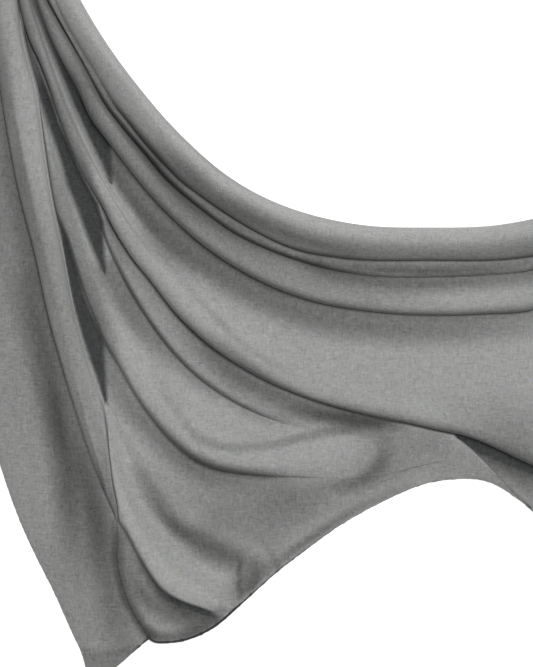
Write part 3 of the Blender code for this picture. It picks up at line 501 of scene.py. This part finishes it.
def polar(x, y):
    """Angle, from the left over the bottom to the right, and distance from the hub."""
    across, down = x - HUB[0], y - HUB[1]
    return math.degrees(math.atan2(down, -across)), math.hypot(across, down)


def angle_of(point):
    """The angle of the ray that a point lies on."""
    return polar(*point[:2])[0]


def smooth(knots, values):
    """A smooth curve through the values that doesn't overshoot them."""
    rises = np.diff(values) / np.diff(knots)
    rises = np.concatenate([[2 * rises[0] - rises[1]] * 2, rises, [2 * rises[-1] - rises[-2]] * 2])
    change = np.abs(np.diff(rises))
    before, after = change[:-2], change[2:]
    total = before + after
    bent = total > STRAIGHT
    blended = (after * rises[1:-2] + before * rises[2:-1]) / np.where(bent, total, 1.0)
    slopes = np.where(bent, blended, 0.5 * (rises[1:-2] + rises[2:-1]))

    def curve(at):
        at = np.clip(at, knots[0], knots[-1])
        i = np.clip(np.searchsorted(knots, at, side="right") - 1, 0, len(knots) - 2)
        width = knots[i + 1] - knots[i]
        t = (at - knots[i]) / width
        return (values[i] * (1 + 2 * t) * (1 - t) ** 2 + slopes[i] * width * t * (1 - t) ** 2
                + values[i + 1] * t * t * (3 - 2 * t) - slopes[i + 1] * width * t * t * (1 - t))

    return curve


class Line:
    """A fold line or edge: its distance from the hub and its height, at any angle."""

    def __init__(self, points):
        rows = sorted((*polar(x, y), z) for x, y, z in points)
        knots, distances, heights = (np.array(column, float) for column in zip(*rows))
        self.distance = smooth(knots, distances)
        self.height = smooth(knots, heights)


class Joined:
    """One line up to an angle, and another from there on."""

    def __init__(self, first, second, angle):
        self.first, self.second, self.angle = first, second, angle

    def distance(self, at):
        return np.where(np.asarray(at) < self.angle, self.first.distance(at), self.second.distance(at))

    def height(self, at):
        return np.where(np.asarray(at) < self.angle, self.first.height(at), self.second.height(at))


def mirrored(points):
    """The same points on the other side of the hub."""
    return tuple((2 * HUB[0] - x, y, z) for x, y, z in points)


def on_ray(angle, reach):
    """x and y at a distance from the hub."""
    turn = np.radians(angle)
    return HUB[0] - reach * np.cos(turn), HUB[1] + reach * np.sin(turn)


def between(inner, outer, share, angles, height):
    """Points that lie a share of the way from one line to another, at the given angles."""
    reach = inner.distance(angles) + share * (outer.distance(angles) - inner.distance(angles))
    x, y = on_ray(angles, reach)
    return zip(x, y, np.broadcast_to(height, x.shape))


def swag_lines():
    """The swag's fold lines, from gather to gather."""
    return {
        name: Line(points + mirrored([row for row in points if row[0] < below]))
        for name, (_, below, points) in SWAG.items()
    }


def folds_from(table, lines):
    """The fold lines of a table in its order, as name, kind and line."""
    return [(name, row[0], lines[name]) for name, row in table.items()]


def part_of(folds, first, last):
    """The fold lines from one to another, with both."""
    names = [name for name, _, _ in folds]
    return folds[names.index(first):names.index(last) + 1]


def lower_lines(panel_edge, outer):
    """The fold lines under the panel, led into and out of an even slope where the folds don't reach."""
    lines = {}
    for name, (_, (first, first_z), points, (last, last_z)) in LOWER.items():
        ahead = np.arange(LOWER_FROM, angle_of(points[0]) - LEAD_IN, LEAD_IN_STEP)
        behind = np.arange(max(angle_of(points[-1]) + LEAD_OUT, LEAD_OUT_FROM), LEAD_OUT_TO, LEAD_OUT_STEP)
        lines[name] = Line((*between(panel_edge, outer, first, ahead, first_z), *points,
                            *between(panel_edge, outer, last, behind, last_z)))
    return lines


def turns_over(kind, next_kind):
    """Whether the cloth turns over a crest and drops to what lies beside it."""
    return kind == "crest" and next_kind in ("crease", "hem")


def ramp(value, low, high):
    """0 below low and 1 above high, with a soft change between."""
    t = np.clip((value - low) / (high - low), 0, 1)
    return t * t * (3 - 2 * t)


def within(value, first, last, fade):
    """1 from first to last and 0 outside them, with a soft change around each."""
    return ramp(value, first - fade, first + fade) * (1 - ramp(value, last - fade, last + fade))


def eased(kind, next_kind, t, square):
    """How far the height has gone from one fold line to the next, at share t of the way."""
    if turns_over(kind, next_kind):
        return 1 - (1 - t ** square) ** (1 / square)
    if kind == "foot":
        return math.sqrt(1 - (1 - t) ** 2)
    if kind == "crease" and next_kind == "crest":
        return math.sin(t * math.pi / 2)
    return ramp(t, 0, 1)


def shares(kind, next_kind, rows):
    """Where the rows of mesh lie between two fold lines, closer together where the cloth turns over."""
    t = np.arange(rows) / rows
    if turns_over(kind, next_kind):
        return np.sin(t * math.pi / 2)
    if kind == "foot":
        return 1 - np.cos(t * math.pi / 2)
    return t ** CREASE_CROWDING if kind == "crease" else t


def in_order(distances):
    """The fold lines' distances with a least gap between neighbours, and the first and last kept."""
    last = len(distances) - 1
    gap = np.minimum(ROW_GAP, (distances[last] - distances[0]) / (last + 1))
    for i in range(1, last):
        distances[i] = np.maximum(distances[i], distances[i - 1] + gap)
    for i in range(last - 1, 0, -1):
        distances[i] = np.minimum(distances[i], distances[i + 1] - gap)
    return distances


def rounded_path(points, parts=5):
    """More points along a smooth curve through the given ones."""
    knots = np.array(points, float)
    padded = np.concatenate([[2 * knots[0] - knots[1]], knots, [2 * knots[-1] - knots[-2]]])
    spans = len(knots) - 1
    before, here, there, after = (padded[i:i + spans, None] for i in range(4))
    t = (np.arange(parts) / parts)[None, :, None]
    path = 0.5 * (2 * here + (there - before) * t + (2 * before - 5 * here + 4 * there - after) * t ** 2
                  + (3 * here - before - 3 * there + after) * t ** 3)
    return np.concatenate([path.reshape(-1, knots.shape[1]), knots[-1:]])


def hollow(widths, points, x, y):
    """How strongly a hollow acts at each place, as painted shade and as rise, from its nearest point on
    the hollow's middle line.
    """
    path = rounded_path(points)
    best = np.full(x.shape, np.inf)
    side = np.zeros(x.shape)
    strength = np.zeros(x.shape)
    for (ax, ay, a), (bx, by, b) in zip(path[:-1], path[1:]):
        dx, dy = bx - ax, by - ay
        share = np.clip(((x - ax) * dx + (y - ay) * dy) / (dx * dx + dy * dy), 0, 1)
        away = np.hypot(x - ax - share * dx, y - ay - share * dy)
        nearer = away < best
        best = np.where(nearer, away, best)
        side = np.where(nearer, dx * (y - ay) - dy * (x - ax), side)
        strength = np.where(nearer, a + share * (b - a), strength)
    width = np.where(side > 0, widths[1], widths[0])
    return strength * np.maximum(1 - (best / width) ** 2, 0) ** 2


def painted_shade_and_troughs(name, x, y):
    """Painted shade and rise of every hollow on a stretch, with the same ones mirrored right of the photo.
    """
    mirror = ramp(x, MIRRORED_FROM, MIRRORED_BY)
    light, rise = np.ones(x.shape), np.zeros(x.shape)
    for stretches, height, widths, points in PAINTED_SHADE_AND_TROUGHS.values():
        here = np.zeros(x.shape)
        if name in stretches:
            here = hollow(widths, points, x, y) * (1 - mirror)
        if name in stretches or (name == "back_piece" and "lower_swag" in stretches):
            here = here + hollow(widths, points, 2 * HUB[0] - x, y) * mirror
        light = light * (1 - np.clip(here, 0, MOST_SHADE))
        rise = rise + height * here / max(shade for _, _, shade in points)
    return 1 - light, rise


def in_gap(deepening, rows, x, y):
    """1 inside a deep gap and 0 outside it, with a soft change at its edges and its upper end."""
    heights, left, right = (np.array(column, float) for column in zip(*rows))
    from_left = x - np.interp(y, heights, left)
    from_right = np.interp(y, heights, right) - x
    soft = np.minimum(GAP_SOFTNESS, NARROW_SHARE * (from_left + from_right) + NARROW_LEAST)
    inside = ramp(np.minimum(from_left, from_right), -soft, soft)
    return np.where(y < heights[-1], inside * ramp(y, heights[0], heights[0] + deepening), 0.0)


def relief(name, angles):
    """Share of a fold's height that is left at each angle."""
    lowered = within(angles, LOWER_PAST, 180 - LOWER_PAST, LOWER_FADE)
    return 1 - (1 - RELIEF.get(name, OTHER_RELIEF)) * lowered


def rows_between(lines, distances, heights):
    """Distance and height of each row of mesh, from the first fold line to the last."""
    reaches, levels = [], []
    for i, (name, kind, _) in enumerate(lines[:-1]):
        next_kind = lines[i + 1][1]
        run, rise = distances[i + 1] - distances[i], heights[i + 1] - heights[i]
        shaped = np.minimum(np.abs(rise) / FAINT_FOLD, 1) ** 2
        for t in shares(kind, next_kind, ROWS[kind]):
            drop = t + shaped * (eased(kind, next_kind, t, SQUARENESS.get(name, EVEN)) - t)
            reaches.append(distances[i] + t * run)
            levels.append(heights[i] + drop * rise)
    return np.array([*reaches, distances[-1]]).T, np.array([*levels, heights[-1]]).T


def drape(name, lines, angles):
    """A stretch of cloth, a row per angle: points (x, y, z), painted shade in its folds and gaps, and
    reach.
    """
    at = np.clip(angles, NECK_ANGLE, 180 - NECK_ANGLE)
    past = np.abs(angles - at) / (NECK_ANGLE - TIP_ANGLE)
    rounding = np.sqrt(1 - TIP_ROUNDING * past * past)
    distances = in_order(np.array([line.distance(at) for _, _, line in lines]))
    distances = NECK_MIDDLE + (distances - NECK_MIDDLE) * rounding
    heights = np.array([(line.height(at) - EDGE_HEIGHT) * relief(fold, at) for fold, _, line in lines])
    reach, level = rows_between(lines, distances, EDGE_HEIGHT + heights * rounding)
    x, y = on_ray(angles[:, None], reach)
    # painted shade of the hollows, and how far they sink the cloth
    shade, rise = painted_shade_and_troughs(name, x, y)
    level = level + rise
    # deep holds the painted shadow of the gaps, which the material reads as gap_shade
    deep = np.zeros(x.shape)
    for stretch_name, deepening, rows in GAPS.values():
        if stretch_name == name:
            inside = in_gap(deepening, rows, x, y)
            level = level + (np.minimum(FLOOR_OF_GAP, level) - level) * inside
            deep = np.maximum(deep, inside)
    for i, (line, _, _) in enumerate(lines):
        if line in SLITS:
            (first, last), depth, width = SLITS[line]
            near = np.exp(-((reach - distances[i][:, None]) / width) ** 2)
            slit = depth * within(at, first, last, SLIT_FADE)[:, None] * near
            level = level - slit
            # painted shade along the bottom of the crease
            shade = np.maximum(shade, SLIT_SHADE * slit)
    level = np.maximum(level, EDGE_HEIGHT)
    return np.stack([x, y, level], axis=-1), np.stack([shade, deep], axis=-1), reach


def hidden(edge, reach, angles, offsets, scale):
    """The rows past an edge, each at its offset along the rays and in height."""
    rows = np.empty((len(angles), len(offsets), 3))
    for i, (along, up) in enumerate(offsets):
        rows[:, i, 0], rows[:, i, 1] = on_ray(angles, reach + along * scale)
        rows[:, i, 2] = np.maximum(edge[:, 2] + up, LIFT)
    return rows


def tucked(points, shade, reach, angles, start, end, covered):
    """Adds the rows that lie out of sight past both edges, with the painted shade of the edge."""
    narrow = np.minimum((reach[:, -1] - reach[:, 0]) / FULL_WIDTH, 1)
    first = hidden(points[:, 0], reach[:, 0], angles, start, narrow)
    last = hidden(points[:, -1], reach[:, -1], angles, end, covered)
    tones = [shade[:, :1]] * len(start) + [shade] + [shade[:, -1:]] * len(end)
    return np.concatenate([first, points, last], axis=1), np.concatenate(tones, axis=1)


def placed(points):
    """Metres in the frame's axes, from millimetres over the surface."""
    x, y, z = points[..., 0], points[..., 1], points[..., 2]
    return np.stack([(x - CENTRE[0]) * MM, (CENTRE[1] - y) * MM, z * MM], axis=-1)


def in_scene(name, data):
    """A new object in the scene, at the origin."""
    thing = bpy.data.objects.new(name, data)
    bpy.context.scene.collection.objects.link(thing)
    return thing


def grid(name, columns, rows, half):
    """A flat square mesh of columns by rows of faces."""
    shape = bmesh.new()
    bmesh.ops.create_grid(shape, x_segments=columns, y_segments=rows, size=half)
    mesh = bpy.data.meshes.new(name)
    shape.to_mesh(mesh)
    shape.free()
    return mesh


def vertices(mesh):
    """The mesh's vertices as rows of x, y and z."""
    flat = np.empty(len(mesh.vertices) * 3, np.float32)
    mesh.vertices.foreach_get("co", flat)
    return flat.reshape(-1, 3)


def toned(mesh, attribute, values):
    """Stores a value at each vertex, which the material reads."""
    tone = mesh.attributes.new(attribute, "FLOAT", "POINT")
    tone.data.foreach_set("value", values.astype(np.float32))


def cloth(name, points, shade, right):
    """A sheet of cloth through a grid of points, with a real thickness."""
    if right:
        points = points * (-1, 1, 1) + (2 * HUB[0], 0, 0)
    columns, rows = points.shape[:2]
    mesh = grid(name, columns - 1, rows - 1, 1.0)
    i, j = np.rint((vertices(mesh)[:, :2] + 1) / 2 * (columns - 1, rows - 1)).astype(int).T
    mesh.vertices.foreach_set("co", placed(points)[i, j].astype(np.float32).ravel())
    # Painted shade of the folds and of the gaps, for the material to darken the cloth with.
    toned(mesh, "fold_shade", shade[i, j, 0])
    toned(mesh, "gap_shade", shade[i, j, 1])
    mesh.update()
    if not right:
        mesh.flip_normals()     # the sections run so that the grid's faces would look down
    mesh.shade_smooth()
    mesh.materials.append(georgette())
    thing = in_scene(name, mesh)
    wall = thing.modifiers.new("thickness", "SOLIDIFY")
    wall.thickness = settings().thickness
    wall.offset = -1
    return thing


def declared(thing, points, node):
    """The sheet stands for its solid: it rides on the root body, and the solid is hidden."""
    metres = placed(points)
    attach(thing, "root")
    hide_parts(node)


def stretch(node, lines, angles, start, end, right=False, covered=1.0):
    """One stretch of the drape, in place of its solid."""
    points, shade, reach = drape(node.removesuffix("_left").removesuffix("_right"), lines, angles)
    points, shade = tucked(points, shade, reach, angles, start, end, covered)
    declared(cloth(node + "_cloth", points, shade, right), points, node)


class Value:
    """A shader socket that can be added, subtracted and multiplied, which adds the Math nodes."""

    def __init__(self, graph, socket):
        self.graph, self.socket = graph, socket

    def math(self, operation, *values):
        return self.graph.node("ShaderNodeMath", {"operation": operation}, dict(enumerate(values)))

    def __add__(self, other):
        return self.math("ADD", self, other)

    def __radd__(self, other):
        return self.math("ADD", other, self)

    def __sub__(self, other):
        return self.math("SUBTRACT", self, other)

    def __rsub__(self, other):
        return self.math("SUBTRACT", other, self)

    def __mul__(self, other):
        return self.math("MULTIPLY", self, other)

    def __rmul__(self, other):
        return self.math("MULTIPLY", other, self)


class Graph:
    """The nodes of one material."""

    def __init__(self, name):
        self.material = bpy.data.materials.new(name)
        self.material.use_nodes = True
        self.tree = self.material.node_tree
        self.shader = self.tree.nodes["Principled BSDF"]

    def node(self, kind, options, inputs, output=0):
        """A node with its settings, then its inputs as numbers, colours or links."""
        made = self.tree.nodes.new(kind)
        for name, value in options.items():
            setattr(made, name, value)
        for name, value in inputs.items():
            self.feed(made.inputs[name], value)
        return Value(self, made.outputs[output])

    def feed(self, socket, value):
        if isinstance(value, Value):
            self.tree.links.new(value.socket, socket)
        else:
            socket.default_value = value

    def set(self, **inputs):
        """Feeds the shader's own sockets, named with _ for a space."""
        for name, value in inputs.items():
            self.feed(self.shader.inputs[name.replace("_", " ")], value)

    def place(self):
        """Where on the object, in metres."""
        return self.node("ShaderNodeTexCoord", {}, {}, output=3)

    def noise(self, place, scale, detail=1.0, roughness=0.5, output=0):
        """Noise around a half, or three of them as a colour at output 1."""
        return self.node("ShaderNodeTexNoise", {"noise_dimensions": "3D"}, {
            "Vector": place, "Scale": scale, "Detail": detail, "Roughness": roughness}, output)

    def tone(self, attribute):
        """The value that the mesh holds at each vertex."""
        return self.node("ShaderNodeAttribute", {"attribute_name": attribute}, {}, output=2)

    def mix(self, share, first, second):
        """From the first colour at 0 to the second at 1."""
        return self.node("ShaderNodeMix", {"data_type": "RGBA", "blend_type": "MIX"}, {
            "Factor": share, 6: first, 7: second}, output=2)

    def vector(self, operation, **inputs):
        """A sum or product of vectors or colours, whose inputs are a, b and c, or Scale."""
        order = {"a": 0, "b": 1, "c": 2}
        return self.node("ShaderNodeVectorMath", {"operation": operation}, {
            order.get(name, name): value for name, value in inputs.items()})


def threads(graph, place, scale, seed):
    """Slubs: sparse short stretches of thicker yarn along one axis, as a value from 0 to 1."""
    turned = graph.node("ShaderNodeMapping", {}, {
        "Vector": place, "Scale": scale, "Location": (seed, seed * 0.7, seed * 1.3)})
    return graph.node("ShaderNodeMapRange", {"interpolation_type": "SMOOTHSTEP"}, {
        "Value": graph.noise(turned, 1.0), "From Min": 0.5, "From Max": 0.7})


def georgette():
    """Grey georgette: a crisp open plain weave with slubs both ways, matt with a faint sheen, darkened
    with painted shade in its folds and gaps.
    """
    known = bpy.data.materials.get("georgette_cloth")
    if known:
        return known
    size = settings()
    graph = Graph("georgette_cloth")
    place = graph.place()
    wander = graph.noise(place, 110.0, detail=0.0, output=1)
    strayed = graph.vector("MULTIPLY_ADD", a=wander, b=WANDER, c=place)
    weft = threads(graph, strayed, WEFT, WEFT_SEED)
    warp = threads(graph, strayed, WARP, WARP_SEED)
    sunk_weft = threads(graph, strayed, WEFT, SUNK_WEFT_SEED)
    sunk_warp = threads(graph, strayed, WARP, SUNK_WARP_SEED)
    tint = graph.noise(place, 260.0, output=1)
    cloud = graph.noise(place, 22.0, detail=3.0, roughness=0.6)
    patch = graph.noise(place, 95.0)
    grain = graph.noise(place, 1400.0)
    shade, deep = graph.tone("fold_shade"), graph.tone("gap_shade")
    slub = weft * patch + warp * (1 - patch) - sunk_weft * (1 - patch) - sunk_warp * patch
    standing_out = shade * SLUB_IN_SHADE + deep * SLUB_IN_GAPS + SLUB_IN_LIGHT
    light = slub * standing_out * size.slub + (cloud - 0.5) * CLOUDS + (grain - 0.5) * GRAIN + 1
    tinted = graph.vector("MULTIPLY_ADD", a=tint, b=TINT_SPREAD, c=TINT_LEAST)
    # Painted shade: the cloth is darkened towards the deep-fold colour where fold_shade says, and further
    # towards the gap colour where gap_shade says; the random tint is then multiplied in.
    shaded = graph.mix(shade, (*size.colour, 1.0), (*size.shade_colour, 1.0))
    base = graph.mix(deep, shaded, (*size.gap_shadow_colour, 1.0))
    dye_and_painted_shade = graph.vector("MULTIPLY", a=tinted, b=base)
    relief = graph.node("ShaderNodeBump", {}, {
        "Strength": 0.5, "Distance": 0.0003, "Height": slub + grain * 0.5})
    graph.set(Base_Color=graph.vector("SCALE", a=dye_and_painted_shade, Scale=light), Roughness=MATT - slub * SLUB_GLOSS,
              Normal=relief, Sheen_Weight=0.12, Sheen_Roughness=0.45)
    return graph.material


def hem_roll():
    """The rolled hem: the same yarn, darkened with painted shade, with a fuzz of short threads."""
    known = bpy.data.materials.get("hem_roll")
    if known:
        return known
    size = settings()
    graph = Graph("hem_roll")
    place = graph.place()
    fuzz = graph.noise(place, 900.0, detail=2.0)
    worn = graph.noise(place, 120.0)
    light = HEM_LIGHT + fuzz * HEM_FUZZ + worn * HEM_WEAR
    plain = graph.mix(graph.tone("hem_painted_shade"), (*size.colour, 1.0), (*size.hem_shade_colour, 1.0))
    relief = graph.node("ShaderNodeBump", {}, {"Strength": 0.7, "Distance": 0.0004, "Height": fuzz})
    graph.set(Base_Color=graph.vector("SCALE", a=plain, Scale=light), Roughness=0.85, Normal=relief,
              Sheen_Weight=0.1)
    return graph.material


def hem_painted_shade(x):
    """How much painted shade darkens the rolled hem, the same on either side of the hub."""
    return np.interp(np.minimum(x, 2 * HUB[0] - x), *HEM_PAINTED_SHADE)


def hem_radius(x, run):
    """Half the width of the rolled hem, uneven and here and there with a small bump."""
    wave = sum(height * math.sin(run * pace + start) for height, pace, start in HEM_WAVES)
    bump = max(math.prod(math.sin(run * pace + start) for pace, start in HEM_BUMP_WAVES), 0) ** 3
    return HEM_RADIUS + DARK_HEM_MORE * hem_painted_shade(x) + wave + HEM_BUMP * bump


def rolled_hem(node, line, angles, right=False):
    """A narrow rolled hem, a little uneven, in place of its solid."""
    x, y = on_ray(angles, line.distance(angles) - HEM_INSET)
    if right:
        x = 2 * HUB[0] - x
    run = np.concatenate([[0], np.cumsum(np.hypot(np.diff(x), np.diff(y)))])
    at = np.linspace(0, run[-1], int(run[-1] / HEM_STEP))
    curve = bpy.data.curves.new(node, "CURVE")
    curve.dimensions = "3D"
    curve.bevel_depth = MM
    curve.bevel_resolution = 2
    curve.use_fill_caps = True
    spline = curve.splines.new("POLY")
    spline.points.add(len(at) - 1)
    for point, px, py, passed in zip(spline.points, np.interp(at, run, x), np.interp(at, run, y), at):
        point.radius = radius = hem_radius(px, passed)
        height = radius + HEM_LIFT * (1 + math.sin(passed * HEM_LIFT_PACE))
        point.co = (*placed(np.array([px, py, height])), 1.0)
    tube = in_scene(node + "_tube", curve)
    shown = tube.evaluated_get(bpy.context.evaluated_depsgraph_get())
    mesh = bpy.data.meshes.new_from_object(shown)
    bpy.data.objects.remove(tube)
    # the hem's painted shade, for the material
    toned(mesh, "hem_painted_shade", hem_painted_shade(vertices(mesh)[:, 0] / MM + CENTRE[0]))
    mesh.materials.append(hem_roll())
    mesh.shade_smooth()
    thing = in_scene(node + "_roll", mesh)
    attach(thing, "root")
    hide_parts(node)
    return thing


def outlines():
    """The swag's outer edge on the left and, plainer, on the right."""
    outer = Line(FRONT_EDGE + (CORNER,) + LONG_HEM)
    outer_right = Line(HEM_GOES_ON + mirrored(FRONT_EDGE + (CORNER,) + HEM_MIRRORS))
    return outer, outer_right


def steps(first, last):
    """Angles from first to last, evenly, about a section step apart."""
    return np.linspace(first, last, round((last - first) / SECTION_STEP) + 1)


CORNER_AT = angle_of(CORNER)
TAIL_CORNER_AT = angle_of(TAIL_CORNER)
TAIL_TIP = angle_of(TAIL["front_fold"][1][-1])


class HijabSettings(bpy.types.PropertyGroup):
    """Sizes and colours of the cloth and its light."""

    thickness: FloatProperty(
        name="Thickness", description="Thickness of the cloth", unit="LENGTH",
        default=0.0008, min=0.0002)
    slub: FloatProperty(
        name="Slub", description="How much the thicker yarns differ in tone", default=0.28, min=0.0)
    colour: FloatVectorProperty(
        name="Cloth", description="Colour of the cloth", subtype="COLOR", default=(0.27, 0.272, 0.266))
    # Painted shade: the colour that the cloth is darkened to deep in its folds and creases.
    shade_colour: FloatVectorProperty(
        name="Deep folds", description="Colour of the cloth deep in its folds", subtype="COLOR",
        default=(0.0345, 0.0345, 0.033))
    # Painted shadow: the colour that the cloth is darkened to in the gaps between pleats.
    gap_shadow_colour: FloatVectorProperty(
        name="Gaps", description="Colour of the cloth in the gaps between pleats", subtype="COLOR",
        default=(0.0245, 0.026, 0.0265))
    # Painted shade: the colour that the rolled hem is darkened to where it lies in shade.
    hem_shade_colour: FloatVectorProperty(
        name="Hem", description="Colour of the rolled hem", subtype="COLOR",
        default=(0.018, 0.018, 0.02))
    key: FloatProperty(
        name="Key light", description="Strength of the key light", default=2.45, min=0.0)
    fill: FloatProperty(
        name="Fill light", description="Strength of the light all round", default=0.5, min=0.0)


def settings():
    return bpy.context.scene.hijab


class HIJAB_OT_swag(bpy.types.Operator):
    """Drapes the three stretches of the swag, from its rolled upper edge to the lit panel"""

    bl_idname = "hijab.swag"
    bl_label = "Swag"

    def execute(self, context):
        folds = folds_from(SWAG, swag_lines())
        angles = steps(TIP_ANGLE, 180 - TIP_ANGLE)
        for node, first, last, start in (
                ("top_roll", "outline", "second_crease", OUTLINE_UNDER),
                ("second_pleat", "second_crease", "third_crease", UNDER_A_FOLD),
                ("panel", "third_crease", "panel_edge", UNDER_A_FOLD)):
            stretch(node, part_of(folds, first, last), angles, start, TURNED_UNDER)
        return {"FINISHED"}


class HIJAB_OT_lower_swag(bpy.types.Operator):
    """Drapes the folds under the panel, the piece behind them and the long hem"""

    bl_idname = "hijab.lower_swag"
    bl_label = "Lower swag"

    def execute(self, context):
        outer, outer_right = outlines()
        edge = swag_lines()["panel_edge"]
        lobe = Line(LOBE_EDGE)
        hem = rolled_hem("long_hem", Joined(outer, outer_right, LOBE_TO),
                         steps(CORNER_AT - HEM_PAST_CORNER, 180 - CORNER_AT + HEM_PAST_CORNER))

        under = folds_from(LOWER, lower_lines(edge, outer))
        inner = ("panel_edge", "crease", Joined(edge, lobe, LOBE_FROM))
        angles = steps(LOWER_FROM, LOBE_TO)
        at_tip = ramp(angles, TAIL_TIP - TIP_FADE, TAIL_TIP)
        at_corner = ramp(angles, CORNER_AT - CORNER_FADE, CORNER_AT)
        covered = 1 - (1 - PAST_THE_TIP) * at_tip - PAST_THE_TIP * at_corner
        stretch("lower_swag", [inner, *under, ("outer", "hem", outer)], angles,
                UNDER_A_FOLD, UNDER_THE_TAIL, covered=covered)

        back_outer = Joined(lobe, outer_right, LOBE_TO)
        span = np.arange(BACK_FROM, 180 - LOWER_FROM, BACK_STEP)
        behind = {}
        for name, (_, share, low, high) in BACK.items():
            heights = low + (high - low) * ramp(span, *BACK_RISES)
            behind[name] = Line(between(edge, back_outer, share, span, heights))
        stretch("back_piece",
                [("panel_edge", "crease", edge), *folds_from(BACK, behind), ("outer", "hem", back_outer)],
                steps(BACK_FROM, 180 - LOWER_FROM), UNDER_A_FOLD, FLAT_END)
        return {"FINISHED"}


class HIJAB_OT_tails(bpy.types.Operator):
    """Drapes the tail at each end with its rolled hems"""

    bl_idname = "hijab.tails"
    bl_label = "Tails"

    def execute(self, context):
        outer, _ = outlines()
        tail = {name: Line(points) for name, (_, points) in TAIL.items()}
        folds = folds_from(TAIL, tail)
        front = part_of(folds, "front_fold", "front_crease")
        back = part_of(folds, "back_fold", "side_fold")
        side = Line(SIDE + (TAIL_CORNER,) + TAIL_END + (CORNER,))
        inner = ("front_crease", "crease", Joined(tail["front_crease"], outer, TAIL_TIP + TIP_JOINT))
        for hand, right in (("left", False), ("right", True)):
            hems = [rolled_hem(f"side_hem_{hand}", side, steps(NECK_ANGLE, TAIL_CORNER_AT), right),
                    rolled_hem(f"end_hem_{hand}", side, steps(TAIL_CORNER_AT, CORNER_AT), right)]
            stretch(f"front_tail_{hand}", [("front_edge", "foot", outer), *front],
                    steps(TIP_ANGLE, TAIL_TIP), BESIDE_THE_NEXT, TURNED_UNDER, right)
            stretch(f"back_tail_{hand}", [inner, *back, ("side", "hem", side)],
                    steps(TIP_ANGLE, CORNER_AT - TAIL_STOP), UNDER_A_FOLD, FLAT_END, right)
        return {"FINISHED"}


class HIJAB_OT_stage(bpy.types.Operator):
    """Lays a pale floor under the cloth, lights it softly and looks straight down at it"""

    bl_idname = "hijab.stage"
    bl_label = "Stage"

    def execute(self, context):
        scene = context.scene
        paper = Graph("paper_floor")
        paper.set(Base_Color=(0.93, 0.93, 0.93, 1.0), Roughness=0.9,
                  Emission_Color=(1.0, 1.0, 1.0, 1.0), Emission_Strength=0.4)
        floor = in_scene("floor", grid("floor", 1, 1, FLOOR_HALF))
        floor.data.materials.append(paper.material)

        world = bpy.data.worlds.new("studio")
        world.use_nodes = True
        sky = world.node_tree.nodes["Background"]
        sky.inputs["Color"].default_value = (1.0, 1.0, 1.0, 1.0)
        sky.inputs["Strength"].default_value = settings().fill
        scene.world = world

        key = bpy.data.lights.new("key", "SUN")
        key.energy = settings().key
        key.angle = math.radians(KEY_SPREAD)
        lamp = in_scene("key", key)
        lamp.rotation_euler = Vector(KEY_FROM).to_track_quat("Z", "Y").to_euler()

        camera = bpy.data.cameras.new("camera")
        camera.lens = LENS
        camera.sensor_width = SENSOR
        camera.clip_end = FARTHEST
        wide, tall = PHOTO_SIZE
        view = in_scene("camera", camera)
        view.location = (*placed(np.array([wide / 2, tall / 2, 0.0]))[:2], tall * MM / SENSOR * LENS)
        scene.camera = view
        scene.view_settings.view_transform = "Standard"
        return {"FINISHED"}


class HIJAB_PT_panel(bpy.types.Panel):
    """Lists the hijab's settings and its steps"""

    bl_idname = "HIJAB_PT_panel"
    bl_label = "Georgette hijab"
    bl_space_type = "VIEW_3D"
    bl_region_type = "UI"
    bl_category = "Hijab"

    def draw(self, context):
        for name in HijabSettings.__annotations__:
            self.layout.prop(context.scene.hijab, name)
        for step in STEPS:
            self.layout.operator(step.bl_idname)


STEPS = (HIJAB_OT_swag, HIJAB_OT_lower_swag, HIJAB_OT_tails, HIJAB_OT_stage)
CLASSES = (HijabSettings, *STEPS, HIJAB_PT_panel)


def register():
    for kind in CLASSES:
        bpy.utils.register_class(kind)
    bpy.types.Scene.hijab = PointerProperty(type=HijabSettings)


def unregister():
    del bpy.types.Scene.hijab
    for kind in reversed(CLASSES):
        bpy.utils.unregister_class(kind)


def main():
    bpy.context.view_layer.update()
    register()
    bpy.ops.hijab.swag()
    bpy.ops.hijab.lower_swag()
    bpy.ops.hijab.tails()
    bpy.ops.hijab.stage()


if __name__ == "__main__":
    main()
